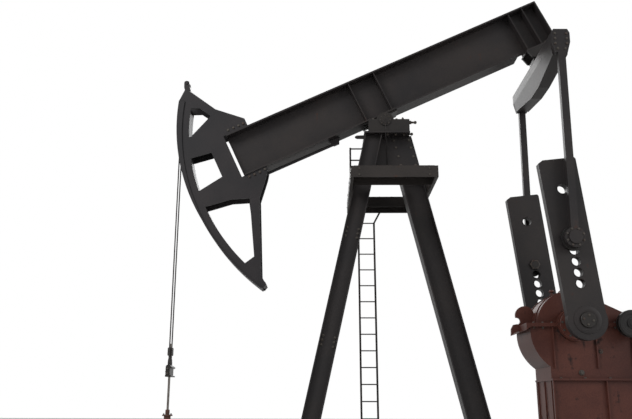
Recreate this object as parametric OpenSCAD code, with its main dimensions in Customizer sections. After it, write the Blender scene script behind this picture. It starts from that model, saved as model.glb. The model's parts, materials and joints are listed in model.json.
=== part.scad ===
// Beam pumping unit with a well head, in millimetres.
// X runs from the well towards the motor, Z is up, and the well centre stands at the origin.

/* [Walking beam] */
// Distance from the well centre to the saddle pivot
pivot_x = 3620; // [3500:10:3800]
// Height of the saddle pivot above the ground
pivot_z = 6420; // [6300:10:6600]
// Tilt of the beam at rest, head down
beam_tilt = 24.8; // [22:0.1:26]
// Distance from the saddle pivot back to the tail pin
tail_arm = 3130; // [3000:10:3200]
// Length of beam that stands past the tail pin
tail_overhang = 425; // [380:5:500]
// Depth of the beam
beam_d = 832; // [760:2:860]
// Width of the beam flanges
beam_w = 380; // [340:2:400]
// Thickness of the beam flanges
flange_t = 28; // [20:1:36]
// Thickness of the beam web
web_t = 20; // [14:1:28]
// Height of the lower flange above the pins, square to the beam
beam_rise = 171; // [171:1:190]

/* [Horse head] */
// Depth of the head from its face to the end of the beam
head_depth = 987; // [940:1:1040]
// Width of the face plate
head_w = 380; // [360:2:400]
// Thickness of the face plate
face_t = 25; // [16:1:32]
// Thickness of the side plates
head_plate_t = 20; // [12:1:24]
// Depth of the rim behind the face
rim_d = 150; // [120:1:180]
// Angle of the upper end of the face
face_top = 32; // [31:0.5:34]
// Angle of the lower end of the face
face_bottom = 29.3; // [28:0.1:30]
// Gap between the head and the end of the beam
head_gap = 50; // [35:1:60]
// Length of the brackets that lap the beam
head_lap = 420; // [360:5:460]

/* [Bridle and rod] */
// Diameter of the bridle ropes
rope_d = 26; // [20:1:32]
// Distance of each rope from the middle of the head
rope_y = 90; // [80:1:110]
// Height of the underside of the carrier bar
carrier_z = 2060; // [2000:10:2200]
// Height of the carrier bar
carrier_h = 190; // [160:5:220]
// Diameter of the polished rod
rod_d = 38; // [32:1:42]

/* [Well head] */
// Diameter of the foot flange
well_flange_d = 480; // [420:10:540]
// Height of the top of the stuffing box
stuffing_top = 1540; // [1480:10:1600]

/* [Crank and gear case] */
// Distance from the well centre to the crankshaft
shaft_x = 6550; // [6500:10:6600]
// Height of the crankshaft above the ground
shaft_z = 2870; // [2850:5:2900]
// Lean of the cranks at rest, towards the well
crank_lean = 6; // [4:0.5:8]
// Distance from the crankshaft to the wrist pin
crank_r = 1258; // [1230:2:1280]
// Length of the crank beyond the crankshaft
crank_tip = 2580; // [2500:10:2600]
// Thickness of the cranks
crank_t = 140; // [120:2:150]
// Distance of the middle of each crank from the middle of the unit
crank_y = 1090; // [1080:2:1110]
// Pitch of the wrist pin holes
hole_pitch = 174; // [165:1:185]
// Diameter of the wrist pin holes
hole_d = 140; // [120:1:150]
// Diameter of the crankshaft
shaft_d = 230; // [180:5:260]
// Half width of the gear case
case_y = 450; // [420:5:480]

/* [Pitmans and yoke] */
// Distance of the middle of each pitman from the middle of the unit
pitman_y = 1290; // [1284:2:1310]
// Width of the pitmans
pitman_w = 120; // [100:2:140]
// Thickness of the pitmans
pitman_t = 92; // [80:1:98]
// Width of the yoke beam
yoke_w = 300; // [270:2:320]
// Depth of the yoke beam at its middle
yoke_d = 565; // [540:5:640]
// Depth of the yoke beam at its ends
yoke_end_d = 420; // [360:10:460]

/* [Samson post] */
// Height of the top of the base frame
base_h = 350; // [300:5:400]
// Height of the top plate of the post
post_top = 6200; // [6190:1:6210]
// Depth of the front legs
front_leg_d = 290; // [280:1:340]
// Depth of the rear leg
rear_leg_d = 374; // [350:1:420]
// Width of the front legs
front_leg_w = 160; // [140:2:190]
// Width of the rear leg
rear_leg_w = 300; // [260:2:320]
// Distance from the pivot forward to the foot of the front legs
front_foot = 1505; // [1450:5:1560]
// Distance from the pivot back to the foot of the rear leg
rear_foot = 1662; // [1600:2:1720]

/* [Platform and ladder] */
// Height of the platform deck
deck_z = 5332; // [5300:2:5400]
// Depth of the platform edge
deck_d = 190; // [160:5:210]
// Distance of the platform's outer edge from the middle
deck_out = 1160; // [1100:10:1200]
// Distance of the platform's inner edge from the middle
deck_in = 700; // [660:5:740]
// Width of the ladder between its rails
ladder_w = 295; // [280:5:340]
// Pitch of the ladder rungs
rung_pitch = 298; // [280:1:310]

/* [Base frame] */
// Distance of the base's front end from the well centre
base_front = 1500; // [1400:10:1600]
// Distance of the base's rear end from the well centre
base_rear = 10300; // [10100:10:10500]
// Distance of each runner from the middle
runner_y = 720; // [700:5:750]
// Width of the runners
runner_w = 220; // [180:5:240]

/* [Hidden] */
$fn = 64;

e = 0.3;
fit = 0.05;

// Turning points of the linkage, as [x, z]
pivot = [pivot_x, pivot_z];
tail = pivot + tail_arm * [cos(beam_tilt), sin(beam_tilt)];
shaft = [shaft_x, shaft_z];
wrist = shaft + crank_r * [-sin(crank_lean), cos(crank_lean)];
pitman_v = tail - wrist;
pitman_l = norm(pitman_v);
yoke_lean = atan2(pitman_v[0], pitman_v[1]);

// Beam and head, measured from the pivot along the beam
beam_top = beam_rise + beam_d;
beam_rear = tail_arm + tail_overhang;
face_r = pivot_x - rope_d / 2 - e;
rope_r = pivot_x;
beam_front = face_r - head_depth;
rim_r = face_r - rim_d;
head_plate_y = head_w / 2 - head_plate_t - 20;
head_back = beam_front + head_gap;
cope_x = tail_arm - 350;
cope_l = 170;
web_plate_t = 16;
end_plate_t = 25;
anchor_a = 1.7;
guard_lean = 44;
guard_shift = 250;
guard_r = face_r - 162;
guard_t = 18;

// Saddle pivot
pivot_d = 130;
bearing_y = 270;
bearing_w = 200;
bearing_r = 150;
saddle_y = bearing_y - bearing_w / 2 - 10;
cheek_y = beam_w / 2 + 95;
cheek_w = 170;

// Tail bearing
tail_pin_d = 100;
tail_boss_r = 88;
tail_boss_w = 280;
tail_lug_t = 40;
yoke_top = 95;

// Crank hubs and wrist pins
wrist_pin_d = 130;
hub_r = 304;
crank_tip_w = 604;
hub_step = 14;
tip_hole_r = 2080;
tip_hole_d = 155;
crank_out = crank_y + crank_t / 2;
pitman_in = pitman_y - pitman_t / 2;
wrist_boss_r = 190;

// Gear case
case_r = 690;
case_drop = 100;
case_front = shaft_x - case_r - 70;
claw_x = case_front - 135;
pedestal_x = shaft_x - 410;
cover_r = 551;
pinion_r = 184;
pinion_x = shaft_x + 850;
case_end = pinion_x + 420;
case_foot = 2030;
case_flange = 60;
cover_y = case_y - 60;

// Base and motor
base_beam_y = runner_y - runner_w / 2;
motor_x = 9150;
motor_z = 1150;
motor_r = 260;
guard_y = case_y + 130;
guard_w = 190;

// Post
front_top = pivot_x - 195;
front_top_y = 300;
rear_top = pivot_x + 272;
top_t = 30;
post_under = post_top - top_t;
gusset_z = deck_z + 80;
leg_web = 14;
front_lean = atan((front_top - (pivot_x - front_foot)) / (post_top - base_h));
rear_lean = atan((pivot_x + rear_foot - rear_top) / (post_top - base_h));

// Platform
bearer_w = 52;
deck_front = front_leg_x(deck_z - deck_d) - leg_half(front_leg_d, front_lean) - bearer_w - 4;
deck_rear = rear_leg_x(deck_z - deck_d) + leg_half(rear_leg_d, rear_lean) + bearer_w;

// Ladder
ladder_y = deck_out + 70;
ladder_x = 3345;
flare_z = 4960;
ladder_top = 6470;
flare_end = deck_z - 110;
flare_w = 575;
hoop_x = ladder_x - flare_w / 2 + 240;
rail_d = 34;
rung_d = 22;

function front_leg_x(z) = front_top - (post_top - z) * tan(front_lean);
function rear_leg_x(z) = rear_top + (post_top - z) * tan(rear_lean);
function front_leg_y(z) = runner_y - (runner_y - front_top_y) * (z - base_h) / (post_under - base_h);
function leg_half(d, lean) = d / 2 / cos(lean);
function polar(r, a) = [-r * cos(a), r * sin(a)];
function cover_front() = shaft_x - cover_r;

// Draws an outline of x and z, and gives it thickness from y0 to y1
module plate(y0, y1) {
  translate([0, y1, 0]) rotate([90, 0, 0]) linear_extrude(y1 - y0) children();
}

module block(x0, x1, y0, y1, z0, z1) {
  translate([x0, y0, z0]) cube([x1 - x0, y1 - y0, z1 - z0]);
}

// Round bar along Y
module pin_y(x, z, d, y0, y1) {
  translate([x, y0, z]) rotate([-90, 0, 0]) cylinder(h = y1 - y0, d = d);
}

// Round bar between two points
module bar(a, b, d) {
  v = b - a;
  translate(a) rotate([0, acos(v[2] / norm(v)), atan2(v[1], v[0])]) cylinder(h = norm(v), d = d, $fn = 16);
}

module beam_frame() {
  translate([pivot_x, 0, pivot_z]) rotate([0, -beam_tilt, 0]) children();
}

module crank_frame() {
  translate([shaft_x, 0, shaft_z]) rotate([0, -crank_lean, 0]) children();
}

module yoke_frame() {
  translate([tail[0], 0, tail[1]]) rotate([0, yoke_lean, 0]) children();
}

// I section, deep along x and wide along y
module i_section(d, w, tf, tw) {
  square([d, tw], center = true);
  for (s = [-1, 1]) translate([s * (d - tf) / 2, 0]) square([tf, w], center = true);
}

// I beam along Y, standing on z0
module cross_i(x, y, z0, h, w) {
  translate([x, y, z0 + h / 2]) rotate([90, 90, 0]) linear_extrude(2 * y) i_section(h, w, 18, 12);
}

// Leg from a foot to a head point, cut level at both ends
module leg(foot, head, d, w) {
  v = (head - foot) / norm(head - foot);
  intersection() {
    translate([0, -2000, foot[2]]) cube([8000, 4000, head[2] - foot[2]]);
    translate(foot) rotate([asin(-v[1]), atan2(v[0], v[2]), 0]) translate([0, 0, -400])
      linear_extrude(norm(head - foot) + 800) i_section(d, w, 20, leg_web);
  }
}

module front_leg(s) {
  leg([pivot_x - front_foot, s * runner_y, base_h], [front_leg_x(post_under), s * front_top_y, post_under],
    front_leg_d, front_leg_w);
  block(pivot_x - front_foot - 240, pivot_x - front_foot + 240, s * runner_y - 105, s * runner_y + 105,
    base_h, base_h + 25);
}

// The space between the webs of the two front legs
module between_legs() {
  intersection_for(s = [-1, 1]) {
    foot = [pivot_x - front_foot, s * runner_y, base_h];
    v = ([front_leg_x(post_under), s * front_top_y, post_under] - foot);
    translate(foot) rotate([asin(-v[1] / norm(v)), atan2(v[0], v[2]), 0])
      translate([-2000, s > 0 ? -4000 - leg_web / 2 : leg_web / 2, -500]) cube([4000, 4000, 8000]);
  }
}

// Base
module runner(s) {
  translate([base_front, s * runner_y, base_h / 2]) rotate([0, 90, 0])
    linear_extrude(base_rear - base_front) i_section(base_h, runner_w, 22, 14);
}

module base_runner_near() {
  color("dimgray") runner(-1);
}

module base_runner_far() {
  color("dimgray") runner(1);
}

module base_cross_beams() {
  color("dimgray") for (x = [base_front + 110, pivot_x - front_foot, pivot_x, pivot_x + rear_foot,
      shaft_x - 420, shaft_x + 480, case_end + 130, motor_x, base_rear - 110])
    cross_i(x, base_beam_y, 0, base_h, 200);
}

// Samson post
module post_leg_front_near() {
  color("slategray") front_leg(-1);
}

module post_leg_front_far() {
  color("slategray") front_leg(1);
}

module post_leg_rear() {
  color("slategray") {
    leg([pivot_x + rear_foot, 0, base_h], [rear_leg_x(post_under), 0, post_under], rear_leg_d, rear_leg_w);
    block(pivot_x + rear_foot - 280, pivot_x + rear_foot + 280, -rear_leg_w / 2 - 30, rear_leg_w / 2 + 30,
      base_h, base_h + 25);
  }
}

module post_head() {
  color("slategray") {
    block(front_top - 175, rear_top + 150, -front_top_y - 130, front_top_y + 130, post_under, post_top);
    block(rear_top + 149, rear_top + 198, -rear_leg_w / 2 - 16, rear_leg_w / 2 + 16, post_under, post_top);
    for (s = [-1, 1]) plate(s * (rear_leg_w / 2 + 8) - 8, s * (rear_leg_w / 2 + 8) + 8) polygon([
      [front_leg_x(post_under) - 150, post_under], [rear_leg_x(post_under) + 195, post_under],
      [rear_leg_x(gusset_z) + 195, gusset_z], [front_leg_x(gusset_z) - 150, gusset_z]]);
    intersection() {
      between_legs();
      for (k = [-1, 1]) plate(-600, 600) polygon([
        [front_leg_x(post_under) + k * 120 - 8, post_under], [front_leg_x(post_under) + k * 120 + 8, post_under],
        [front_leg_x(gusset_z) + k * 120 + 8, gusset_z], [front_leg_x(gusset_z) + k * 120 - 8, gusset_z]]);
    }
  }
}

module post_ties() {
  color("slategray") intersection() {
    between_legs();
    for (z = [2600, 4400]) translate([front_leg_x(z), 0, z]) rotate([90, 90, 0])
      linear_extrude(3000, center = true) i_section(160, 150, 12, 10);
  }
}

module saddle_bearings() {
  color("darkslategray") for (s = [-1, 1]) difference() {
    union() {
      pin_y(pivot_x, pivot_z, 2 * bearing_r, s * bearing_y - bearing_w / 2, s * bearing_y + bearing_w / 2);
      block(pivot_x - bearing_r, pivot_x + bearing_r, s * bearing_y - bearing_w / 2,
        s * bearing_y + bearing_w / 2, post_top + 40, pivot_z);
      block(pivot_x - 290, pivot_x + 422, s * bearing_y - bearing_w / 2, s * bearing_y + bearing_w / 2,
        post_top, post_top + 40);
      plate(s * cheek_y - cheek_w / 2, s * cheek_y + cheek_w / 2) polygon([[pivot_x - 290, post_top],
        [pivot_x - 290, post_top + 205], [pivot_x - 255, pivot_z + 20], [pivot_x + 422, pivot_z + 20],
        [pivot_x + 422, post_top]]);
    }
    pin_y(pivot_x, pivot_z, pivot_d + 2 * fit, s * bearing_y - bearing_w, s * bearing_y + bearing_w);
  }
}

// Platform
module deck(s) {
  y0 = min(s * deck_in, s * deck_out);
  y1 = max(s * deck_in, s * deck_out);
  x0 = deck_front + bearer_w + fit;
  x1 = deck_rear - bearer_w - fit;
  block(x0, x1, y0, y1, deck_z - 10, deck_z);
  for (y = [y0, y1 - 8]) block(x0, x1, y, y + 8, deck_z - deck_d, deck_z - 10);
  for (k = [1 : 2]) let (x = deck_front + k * (deck_rear - deck_front) / 3)
    block(x - 4, x + 4, y0 + 8, y1 - 8, deck_z - 80, deck_z - 10);
}

module platform_deck_near() {
  color("gray") deck(-1);
}

module platform_deck_far() {
  color("gray") deck(1);
}

// Cleat between a bearer and a leg, from the bearer's face at x0
module cleat(x0, leg_x0, leg_x1, y0, y1) {
  plate(y0, y1) polygon([[x0, deck_z - deck_d], [leg_x0, deck_z - deck_d], [leg_x1, deck_z], [x0, deck_z]]);
}

module platform_bearers() {
  hf = leg_half(front_leg_d, front_lean);
  hr = leg_half(rear_leg_d, rear_lean);
  zl = deck_z - deck_d;
  yl = front_leg_y(deck_z - deck_d / 2);
  color("gray") {
    for (x = [deck_front, deck_rear - bearer_w]) block(x, x + bearer_w, -deck_out, deck_out, zl, deck_z);
    for (s = [-1, 1]) cleat(deck_front + bearer_w, front_leg_x(zl) - hf - 2 * fit, front_leg_x(deck_z) - hf - 2 * fit,
      s * yl - 60, s * yl + 60);
    cleat(deck_rear - bearer_w, rear_leg_x(zl) + hr + 2 * fit, rear_leg_x(deck_z) + hr + 2 * fit, -120, 120);
  }
}

// Ladder
module ladder() {
  hw = ladder_w / 2;
  fw = flare_w / 2;
  r = rail_d / 2;
  color("gray") {
    // One rail ends at the deck, and the other goes on up into a hoop to hold on to
    for (s = [-1, 1]) let (x0 = ladder_x + s * hw + 20, x1 = ladder_x + s * hw, x2 = ladder_x + s * fw,
        top = s < 0 ? ladder_top : deck_z) {
      plate(ladder_y - 25, ladder_y + 25) polygon([[x0 - r, 0], [x0 + r, 0], [x1 + r, flare_z], [x2 + r, flare_end],
        [x2 + r, top], [x2 - r, top], [x2 - r, flare_end], [x1 - r, flare_z]]);
      block(x2 - 6, x2 + 6, deck_out, ladder_y - 20, deck_z - 100, deck_z - 50);
    }
    block(hoop_x - r, hoop_x + r, ladder_y - 25, ladder_y + 25, flare_end, ladder_top);
    block(hoop_x - 6, hoop_x + 6, deck_out, ladder_y - 20, deck_z - 100, deck_z - 50);
    for (z = [ladder_top - rail_d / 2, ladder_top - 250])
      bar([ladder_x - fw, ladder_y, z], [hoop_x, ladder_y, z], rung_d + 6);
    for (k = [0 : floor((flare_z - 300) / rung_pitch)]) let (z = flare_z - k * rung_pitch, x = 20 * (1 - z / flare_z))
      bar([ladder_x - hw + x, ladder_y, z], [ladder_x + hw + x, ladder_y, z], rung_d);
  }
}

// Gear case and drive
module gear_case_pedestal() {
  x0 = pedestal_x;
  x1 = case_end + 20;
  y = case_y + 60;
  z1 = case_foot - 30;
  color("dimgray") {
    block(x0, x1, -y, y, z1, case_foot);
    block(x0, x1, -y, y, base_h, base_h + 24);
    block(x0 + 20, x1 - 20, -y + 60, y - 60, base_h + 24, z1);
    for (x = [x0 + 8, (x0 + x1) / 2 - 8, x1 - 24], s = [-1, 1])
      block(x, x + 16, s * (y - 35) - 25, s * (y - 35) + 25, base_h + 24, z1);
    for (t = [-1, 0, 1], x = [x0 + 2, x1 - 20])
      block(x, x + 18, t * (y - 120) - 10, t * (y - 120) + 10, base_h + 24, z1);
  }
}

// Tangent outline round two circles with their centres on one level
module belt_outline(a, ra, b, rb) {
  v = b - a;
  t = acos((ra - rb) / norm(v));
  w = atan2(v[1], v[0]);
  translate(a) circle(r = ra, $fn = 96);
  translate(b) circle(r = rb, $fn = 64);
  polygon([a + ra * [cos(w + t), sin(w + t)], a + ra * [cos(w - t), sin(w - t)],
    b + rb * [cos(w - t), sin(w - t)], b + rb * [cos(w + t), sin(w + t)]]);
}

module case_outline() {
  intersection() {
    translate([shaft_x, shaft_z - case_drop]) circle(r = case_r, $fn = 96);
    translate([shaft_x - 1000, case_foot]) square([1000, shaft_z - case_foot]);
  }
  translate([shaft_x - 1, shaft_z - case_drop - case_r]) square([case_end - shaft_x - 200, case_r + case_drop]);
  translate([case_end - 400, shaft_z - case_r / 2]) square([400, case_r / 2]);
  translate([pedestal_x, case_foot]) square([case_end - pedestal_x - 80, shaft_z - case_drop - 0.8 * case_r - case_foot]);
}

// Claw with a round mouth, at the front of the split
module claw() {
  difference() {
    union() {
      translate([claw_x + 245, shaft_z + 200]) circle(r = 155);
      translate([claw_x + 150, shaft_z - 20]) square([cover_front() - claw_x - 130, 220]);
      translate([claw_x, shaft_z]) polygon([[0, -136], [7, -21], [44, 45], [121, 60], [160, 60], [160, -50], [52, -87]]);
    }
    translate([claw_x + 110, shaft_z + 110]) circle(r = 55);
    translate([claw_x - 100, shaft_z + 55]) square([210, 110]);
  }
}

module claw_half(upper) {
  plate(-30, 30) intersection() {
    claw();
    translate([0, upper ? shaft_z : 0]) square([12000, shaft_z]);
  }
}

module half_boss(r, x, upper) {
  for (s = [-1, 1]) intersection() {
    pin_y(x, shaft_z, 2 * r, s * (case_y + 30) - 70, s * (case_y + 30) + 70);
    translate([0, -3000, upper ? shaft_z : 0]) cube([12000, 6000, shaft_z]);
  }
}

module shaft_hole() {
  pin_y(shaft_x, shaft_z, shaft_d + 2 * fit, -case_y - 200, case_y + 200);
}

module gear_case() {
  color("darkslategray") difference() {
    union() {
      plate(-case_y, case_y) intersection() {
        case_outline();
        square([12000, shaft_z - case_flange / 2]);
      }
      block(case_front, case_end, -case_y - 50, case_y + 50, shaft_z - case_flange / 2, shaft_z);
      plate(-case_y - 50, case_y + 50) polygon([[case_front, shaft_z - case_flange / 2], [case_front, shaft_z - 85],
        [case_front + 25, shaft_z - 62], [case_front + 75, shaft_z - case_flange / 2]]);
      claw_half(false);
      for (s = [-1, 1], x = [shaft_x - 340, shaft_x + 340, pinion_x + 60]) let (y = s * (case_y + 16))
        block(x - 11, x + 11, y - 20, y + 20, case_foot + 160, shaft_z - case_flange / 2);
      half_boss(260, shaft_x, false);
      half_boss(150, pinion_x, false);
    }
    shaft_hole();
  }
}

module gear_case_cover() {
  color("darkslategray") difference() {
    union() {
      plate(-cover_y, cover_y) intersection() {
        belt_outline(shaft, cover_r, [pinion_x, shaft_z], pinion_r);
        translate([shaft_x - 1000, shaft_z]) square([3000, 1000]);
      }
      block(case_front, case_end, -case_y - 50, case_y + 50, shaft_z, shaft_z + case_flange / 2);
      claw_half(true);
      half_boss(260, shaft_x, true);
      half_boss(150, pinion_x, true);
    }
    shaft_hole();
  }
}

module brake_drum() {
  color("dimgray") {
    pin_y(pinion_x, shaft_z, 90, -case_y - 270, -case_y - 100);
    pin_y(pinion_x, shaft_z, 410, -case_y - 240, -case_y - 130);
  }
}

module belt_guard() {
  post_x = pinion_x + 800;
  color("dimgray") {
    plate(guard_y, guard_y + guard_w) belt_outline([pinion_x, shaft_z], 450, [motor_x, motor_z], 180);
    pin_y(pinion_x, shaft_z, 90, case_y + 100, guard_y);
    block(post_x, post_x + 80, guard_y + 40, guard_y + 120, base_h, shaft_z - 900);
    block(post_x - 60, post_x + 140, runner_y - 100, runner_y + 100, base_h, base_h + 15);
  }
}

module motor_stand() {
  y = runner_y - 40;
  top = motor_z - motor_r - 30;
  color("dimgray") {
    block(motor_x - 400, motor_x + 400, -y - 50, y + 50, top - 30, top);
    for (s = [-1, 1], t = [-1, 1])
      block(motor_x + s * 320 - 50, motor_x + s * 320 + 50, t * y - 50, t * y + 50, base_h, top - 30);
  }
}

module motor() {
  color("steelblue") {
    pin_y(motor_x, motor_z, 2 * motor_r, -420, 420);
    pin_y(motor_x, motor_z, 80, 420, guard_y);
    block(motor_x - 110, motor_x + 110, -150, 110, motor_z + motor_r - 30, motor_z + motor_r + 110);
    for (s = [-1, 1]) block(motor_x + s * 200 - 50, motor_x + s * 200 + 50, -330, 330, motor_z - motor_r - 30,
      motor_z - 100);
  }
}

// Well head
module casing_head() {
  color("firebrick") difference() {
    union() {
      cylinder(h = 60, d = well_flange_d);
      cylinder(h = 520, d = 300);
      translate([0, 0, 460]) cylinder(h = 60, d = 420);
      pin_y(0, 270, 110, -230, 230);
    }
    translate([0, 0, -1]) cylinder(h = 600, d = rod_d + 30);
  }
}

module pumping_tee() {
  color("firebrick") difference() {
    union() {
      translate([0, 0, 520]) cylinder(h = 60, d = 420);
      translate([0, 0, 580]) cylinder(h = 560, d = 130);
      translate([0, 0, 860]) rotate([0, 90, 0]) cylinder(h = 190, d = 110);
      translate([0, 0, 1080]) cylinder(h = 60, d = 170, $fn = 6);
    }
    translate([0, 0, 500]) cylinder(h = 700, d = rod_d + 30);
  }
}

module stuffing_box() {
  color("firebrick") difference() {
    union() {
      translate([0, 0, 1140]) cylinder(h = 180, d = 150);
      translate([0, 0, 1320]) cylinder(h = 120, d = 110);
      translate([0, 0, 1440]) cylinder(h = stuffing_top - 1440, d = 70);
    }
    translate([0, 0, 1100]) cylinder(h = stuffing_top, d = rod_d + 2 * fit);
  }
}

// Beam body
module walking_beam() {
  color("slategray") beam_frame() {
    difference() {
      translate([-beam_front, 0, beam_rise + beam_d / 2]) rotate([0, 90, 0])
        linear_extrude(beam_front + beam_rear) i_section(beam_d, beam_w, flange_t, web_t);
      block(cope_x, cope_x + cope_l, -beam_w, beam_w, beam_rise - 1, beam_rise + flange_t + 6);
    }
    block(beam_rear - end_plate_t, beam_rear, -beam_w / 2, beam_w / 2, beam_rise, beam_top);
    for (x = [-250, 250, tail_arm - 140, tail_arm + 140])
      block(x - web_plate_t / 2, x + web_plate_t / 2, -beam_w / 2 + 12, beam_w / 2 - 12,
        beam_rise + flange_t - 1, beam_top - flange_t + 1);
  }
}

module saddle() {
  color("darkslategray") beam_frame() {
    pin_y(0, 0, pivot_d, -bearing_y - bearing_w / 2, bearing_y + bearing_w / 2);
    pin_y(0, 0, 210, -bearing_y + bearing_w / 2 + 6, bearing_y - bearing_w / 2 - 6);
    block(-330, 330, -saddle_y, saddle_y, beam_rise - 30, beam_rise);
    block(-100, 100, -saddle_y + 30, saddle_y - 30, 0, beam_rise - 30);
  }
}

module head_window(points) {
  intersection() {
    circle(r = rim_r, $fn = 180);
    polygon(points);
  }
}

module head_outline() {
  difference() {
    intersection() {
      circle(r = face_r - face_t, $fn = 180);
      polygon([[-beam_front + head_lap, beam_top], [-beam_front + head_lap, beam_top + 147],
        [-beam_front + 20, beam_top + 527], [-beam_front - 266, beam_top + 1047], polar(face_r + 300, face_top + 2),
        polar(face_r + 600, 0), polar(face_r + 300, -face_bottom), [-beam_front - 423, beam_rise - 1905],
        [-beam_front - 440, beam_rise - 1726], [-beam_front + 74, beam_rise - 481],
        [-beam_front + 350, beam_rise - 161], [-beam_front + head_lap, beam_rise - 60],
        [-beam_front + head_lap, beam_rise], [-head_back, beam_rise], [-head_back, beam_top]]);
    }
    head_window([polar(face_r, 29.8), polar(3303, 30.4), [-2720, 1450], [-3190, 1235], polar(face_r, 20.5)]);
    head_window([polar(face_r, 14.2), [-2980, 810], [-2980, 320], polar(face_r, 3.6)]);
    head_window([polar(face_r, -0.6), [-3010, -120], [-2700, -240], [-3037, -1210], polar(face_r, -20.8)]);
  }
}

// Ear above the end of the face, where the ropes are made fast
module head_ear() {
  polygon([polar(face_r - face_t - 70, face_top + 0.1), polar(face_r + 80, face_top + 0.2),
    [-beam_front - 325, beam_rise + 1944], [-beam_front - 262, beam_top + 1040]]);
}

module head_plate_near() {
  color("slategray") beam_frame() {
    plate(-head_plate_y - head_plate_t, -head_plate_y) head_outline();
    plate(-head_plate_y - head_plate_t, -head_plate_y) head_ear();
  }
}

module head_plate_far() {
  color("slategray") beam_frame() {
    plate(head_plate_y, head_plate_y + head_plate_t) head_outline();
    plate(head_plate_y, head_plate_y + head_plate_t) head_ear();
  }
}

module arc_strip(r0, r1, a0, a1) {
  intersection() {
    difference() {
      circle(r = r1, $fn = 720);
      circle(r = r0, $fn = 720);
    }
    polygon([[0, 0], polar(2 * r1, a0), polar(2 * r1, (a0 + a1) / 2), polar(2 * r1, a1)]);
  }
}

module head_face() {
  color("slategray") beam_frame() {
    plate(-head_w / 2, head_w / 2) arc_strip(face_r - face_t, face_r, -face_bottom, face_top);
    for (s = [-1, 1]) plate(s * (head_w - guard_t) / 2 - guard_t / 2, s * (head_w - guard_t) / 2 + guard_t / 2)
      intersection() {
        arc_strip(face_r - 2, face_r + 200, -10, face_top);
        translate(polar(guard_shift, guard_lean)) circle(r = guard_r, $fn = 720);
      }
  }
}

module head_stiffeners() {
  color("slategray") beam_frame() {
    plate(-head_plate_y, head_plate_y) arc_strip(rim_r, rim_r + 16, -face_bottom + 3, face_top - 3);
    block(-head_back - 20, -head_back, -head_plate_y, head_plate_y, beam_rise, beam_top);
  }
}

module head_brace() {
  color("slategray") beam_frame() {
    pin_y(-beam_front - 465, beam_rise - 1871, 90, -head_plate_y, head_plate_y);
    bar([-beam_front + 300, 0, beam_rise - 80], [-900, 0, beam_rise - 82], 50);
    block(-beam_front + 290, -beam_front + 340, -head_plate_y, head_plate_y, beam_rise - 115, beam_rise - 45);
    plate(-20, 20) polygon([[-1010, beam_rise], [-790, beam_rise], [-850, beam_rise - 115],
      [-950, beam_rise - 115]]);
  }
}

module rope_anchor() {
  color("dimgray") beam_frame() {
    block(-beam_front - 340, -beam_front - 260, -head_plate_y, head_plate_y, beam_rise + 1750, beam_rise + 1870);
    plate(-60, 60) polygon([[-beam_front - 320, beam_rise + 1830], [-beam_front - 265, beam_rise + 1830],
      [-beam_front - 225, beam_rise + 2024], [-beam_front - 285, beam_rise + 2044]]);
    plate(-head_w / 2 + guard_t + 2, head_w / 2 - guard_t - 2) arc_strip(face_r + fit, face_r + 70, face_top - anchor_a, face_top);
  }
}

// Rope from the anchor to where it leaves the face, which is level with the pivot
module bridle_wrap() {
  color("silver") beam_frame() for (s = [-1, 1]) translate([0, s * rope_y, 0]) rotate([90, 0, 0])
    rotate([0, 0, 180 - face_top + anchor_a]) rotate_extrude(angle = face_top - anchor_a - beam_tilt, $fn = 180)
      translate([rope_r, 0]) circle(d = rope_d, $fn = 16);
}

module tail_bracket() {
  color("darkslategray") beam_frame() translate([tail_arm, 0, 0]) {
    pin_y(0, 0, tail_pin_d, -tail_boss_w / 2 - tail_lug_t - 16, tail_boss_w / 2 + tail_lug_t + 16);
    for (s = [-1, 1]) let (y = s * (tail_boss_w / 2 + tail_lug_t / 2 + 6))
      plate(y - tail_lug_t / 2, y + tail_lug_t / 2) {
        circle(r = tail_boss_r - 4);
        polygon([[cope_x + cope_l - tail_arm + 5, beam_rise], [tail_overhang - 55, beam_rise], [tail_boss_r - 8, 0],
          [-tail_boss_r + 8, 0], [-145, 40]]);
      }
  }
}

// Yoke body
// Outline across the yoke beam, d deep, with sloped upper and lower edges
module yoke_section(d) {
  polygon([[-yoke_w / 2 + 35, -yoke_top], [yoke_w / 2 - 35, -yoke_top], [yoke_w / 2, -yoke_top - 65],
    [yoke_w / 2, -yoke_top - 235], [yoke_w / 2 - 50, -yoke_top - d], [-yoke_w / 2 + 50, -yoke_top - d],
    [-yoke_w / 2, -yoke_top - 235], [-yoke_w / 2, -yoke_top - 65]]);
}

module yoke_beam() {
  color("slategray") yoke_frame() {
    intersection() {
      translate([-yoke_w / 2, 0, 0]) rotate([90, 0, 90]) linear_extrude(yoke_w) polygon([
        [-pitman_in, -yoke_top], [pitman_in, -yoke_top], [pitman_in, -yoke_top - yoke_end_d],
        [250, -yoke_top - yoke_d], [-250, -yoke_top - yoke_d], [-pitman_in, -yoke_top - yoke_end_d]]);
      plate(-pitman_in, pitman_in) yoke_section(yoke_d);
    }
  }
}

module tail_bearing() {
  color("darkslategray") yoke_frame() difference() {
    union() {
      pin_y(0, 0, 2 * tail_boss_r, -tail_boss_w / 2, tail_boss_w / 2);
      block(-120, 120, -tail_boss_w / 2, tail_boss_w / 2, -yoke_top, -40);
    }
    pin_y(0, 0, tail_pin_d + 2 * fit, -tail_boss_w, tail_boss_w);
  }
}

module pitman(s) {
  yoke_frame() {
    block(-pitman_w / 2, pitman_w / 2, s * pitman_y - pitman_t / 2, s * pitman_y + pitman_t / 2,
      -pitman_l, -yoke_top - 100);
    plate(s * pitman_y - pitman_t / 2, s * pitman_y + pitman_t / 2) {
      yoke_section(yoke_end_d);
      translate([0, -pitman_l]) circle(r = wrist_boss_r - 30);
    }
    translate([0, s * (pitman_y + pitman_t / 2), -pitman_l]) pin_y(0, 0, 210, -28, 28);
  }
}

module pitman_near() {
  color("slategray") pitman(-1);
}

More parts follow.
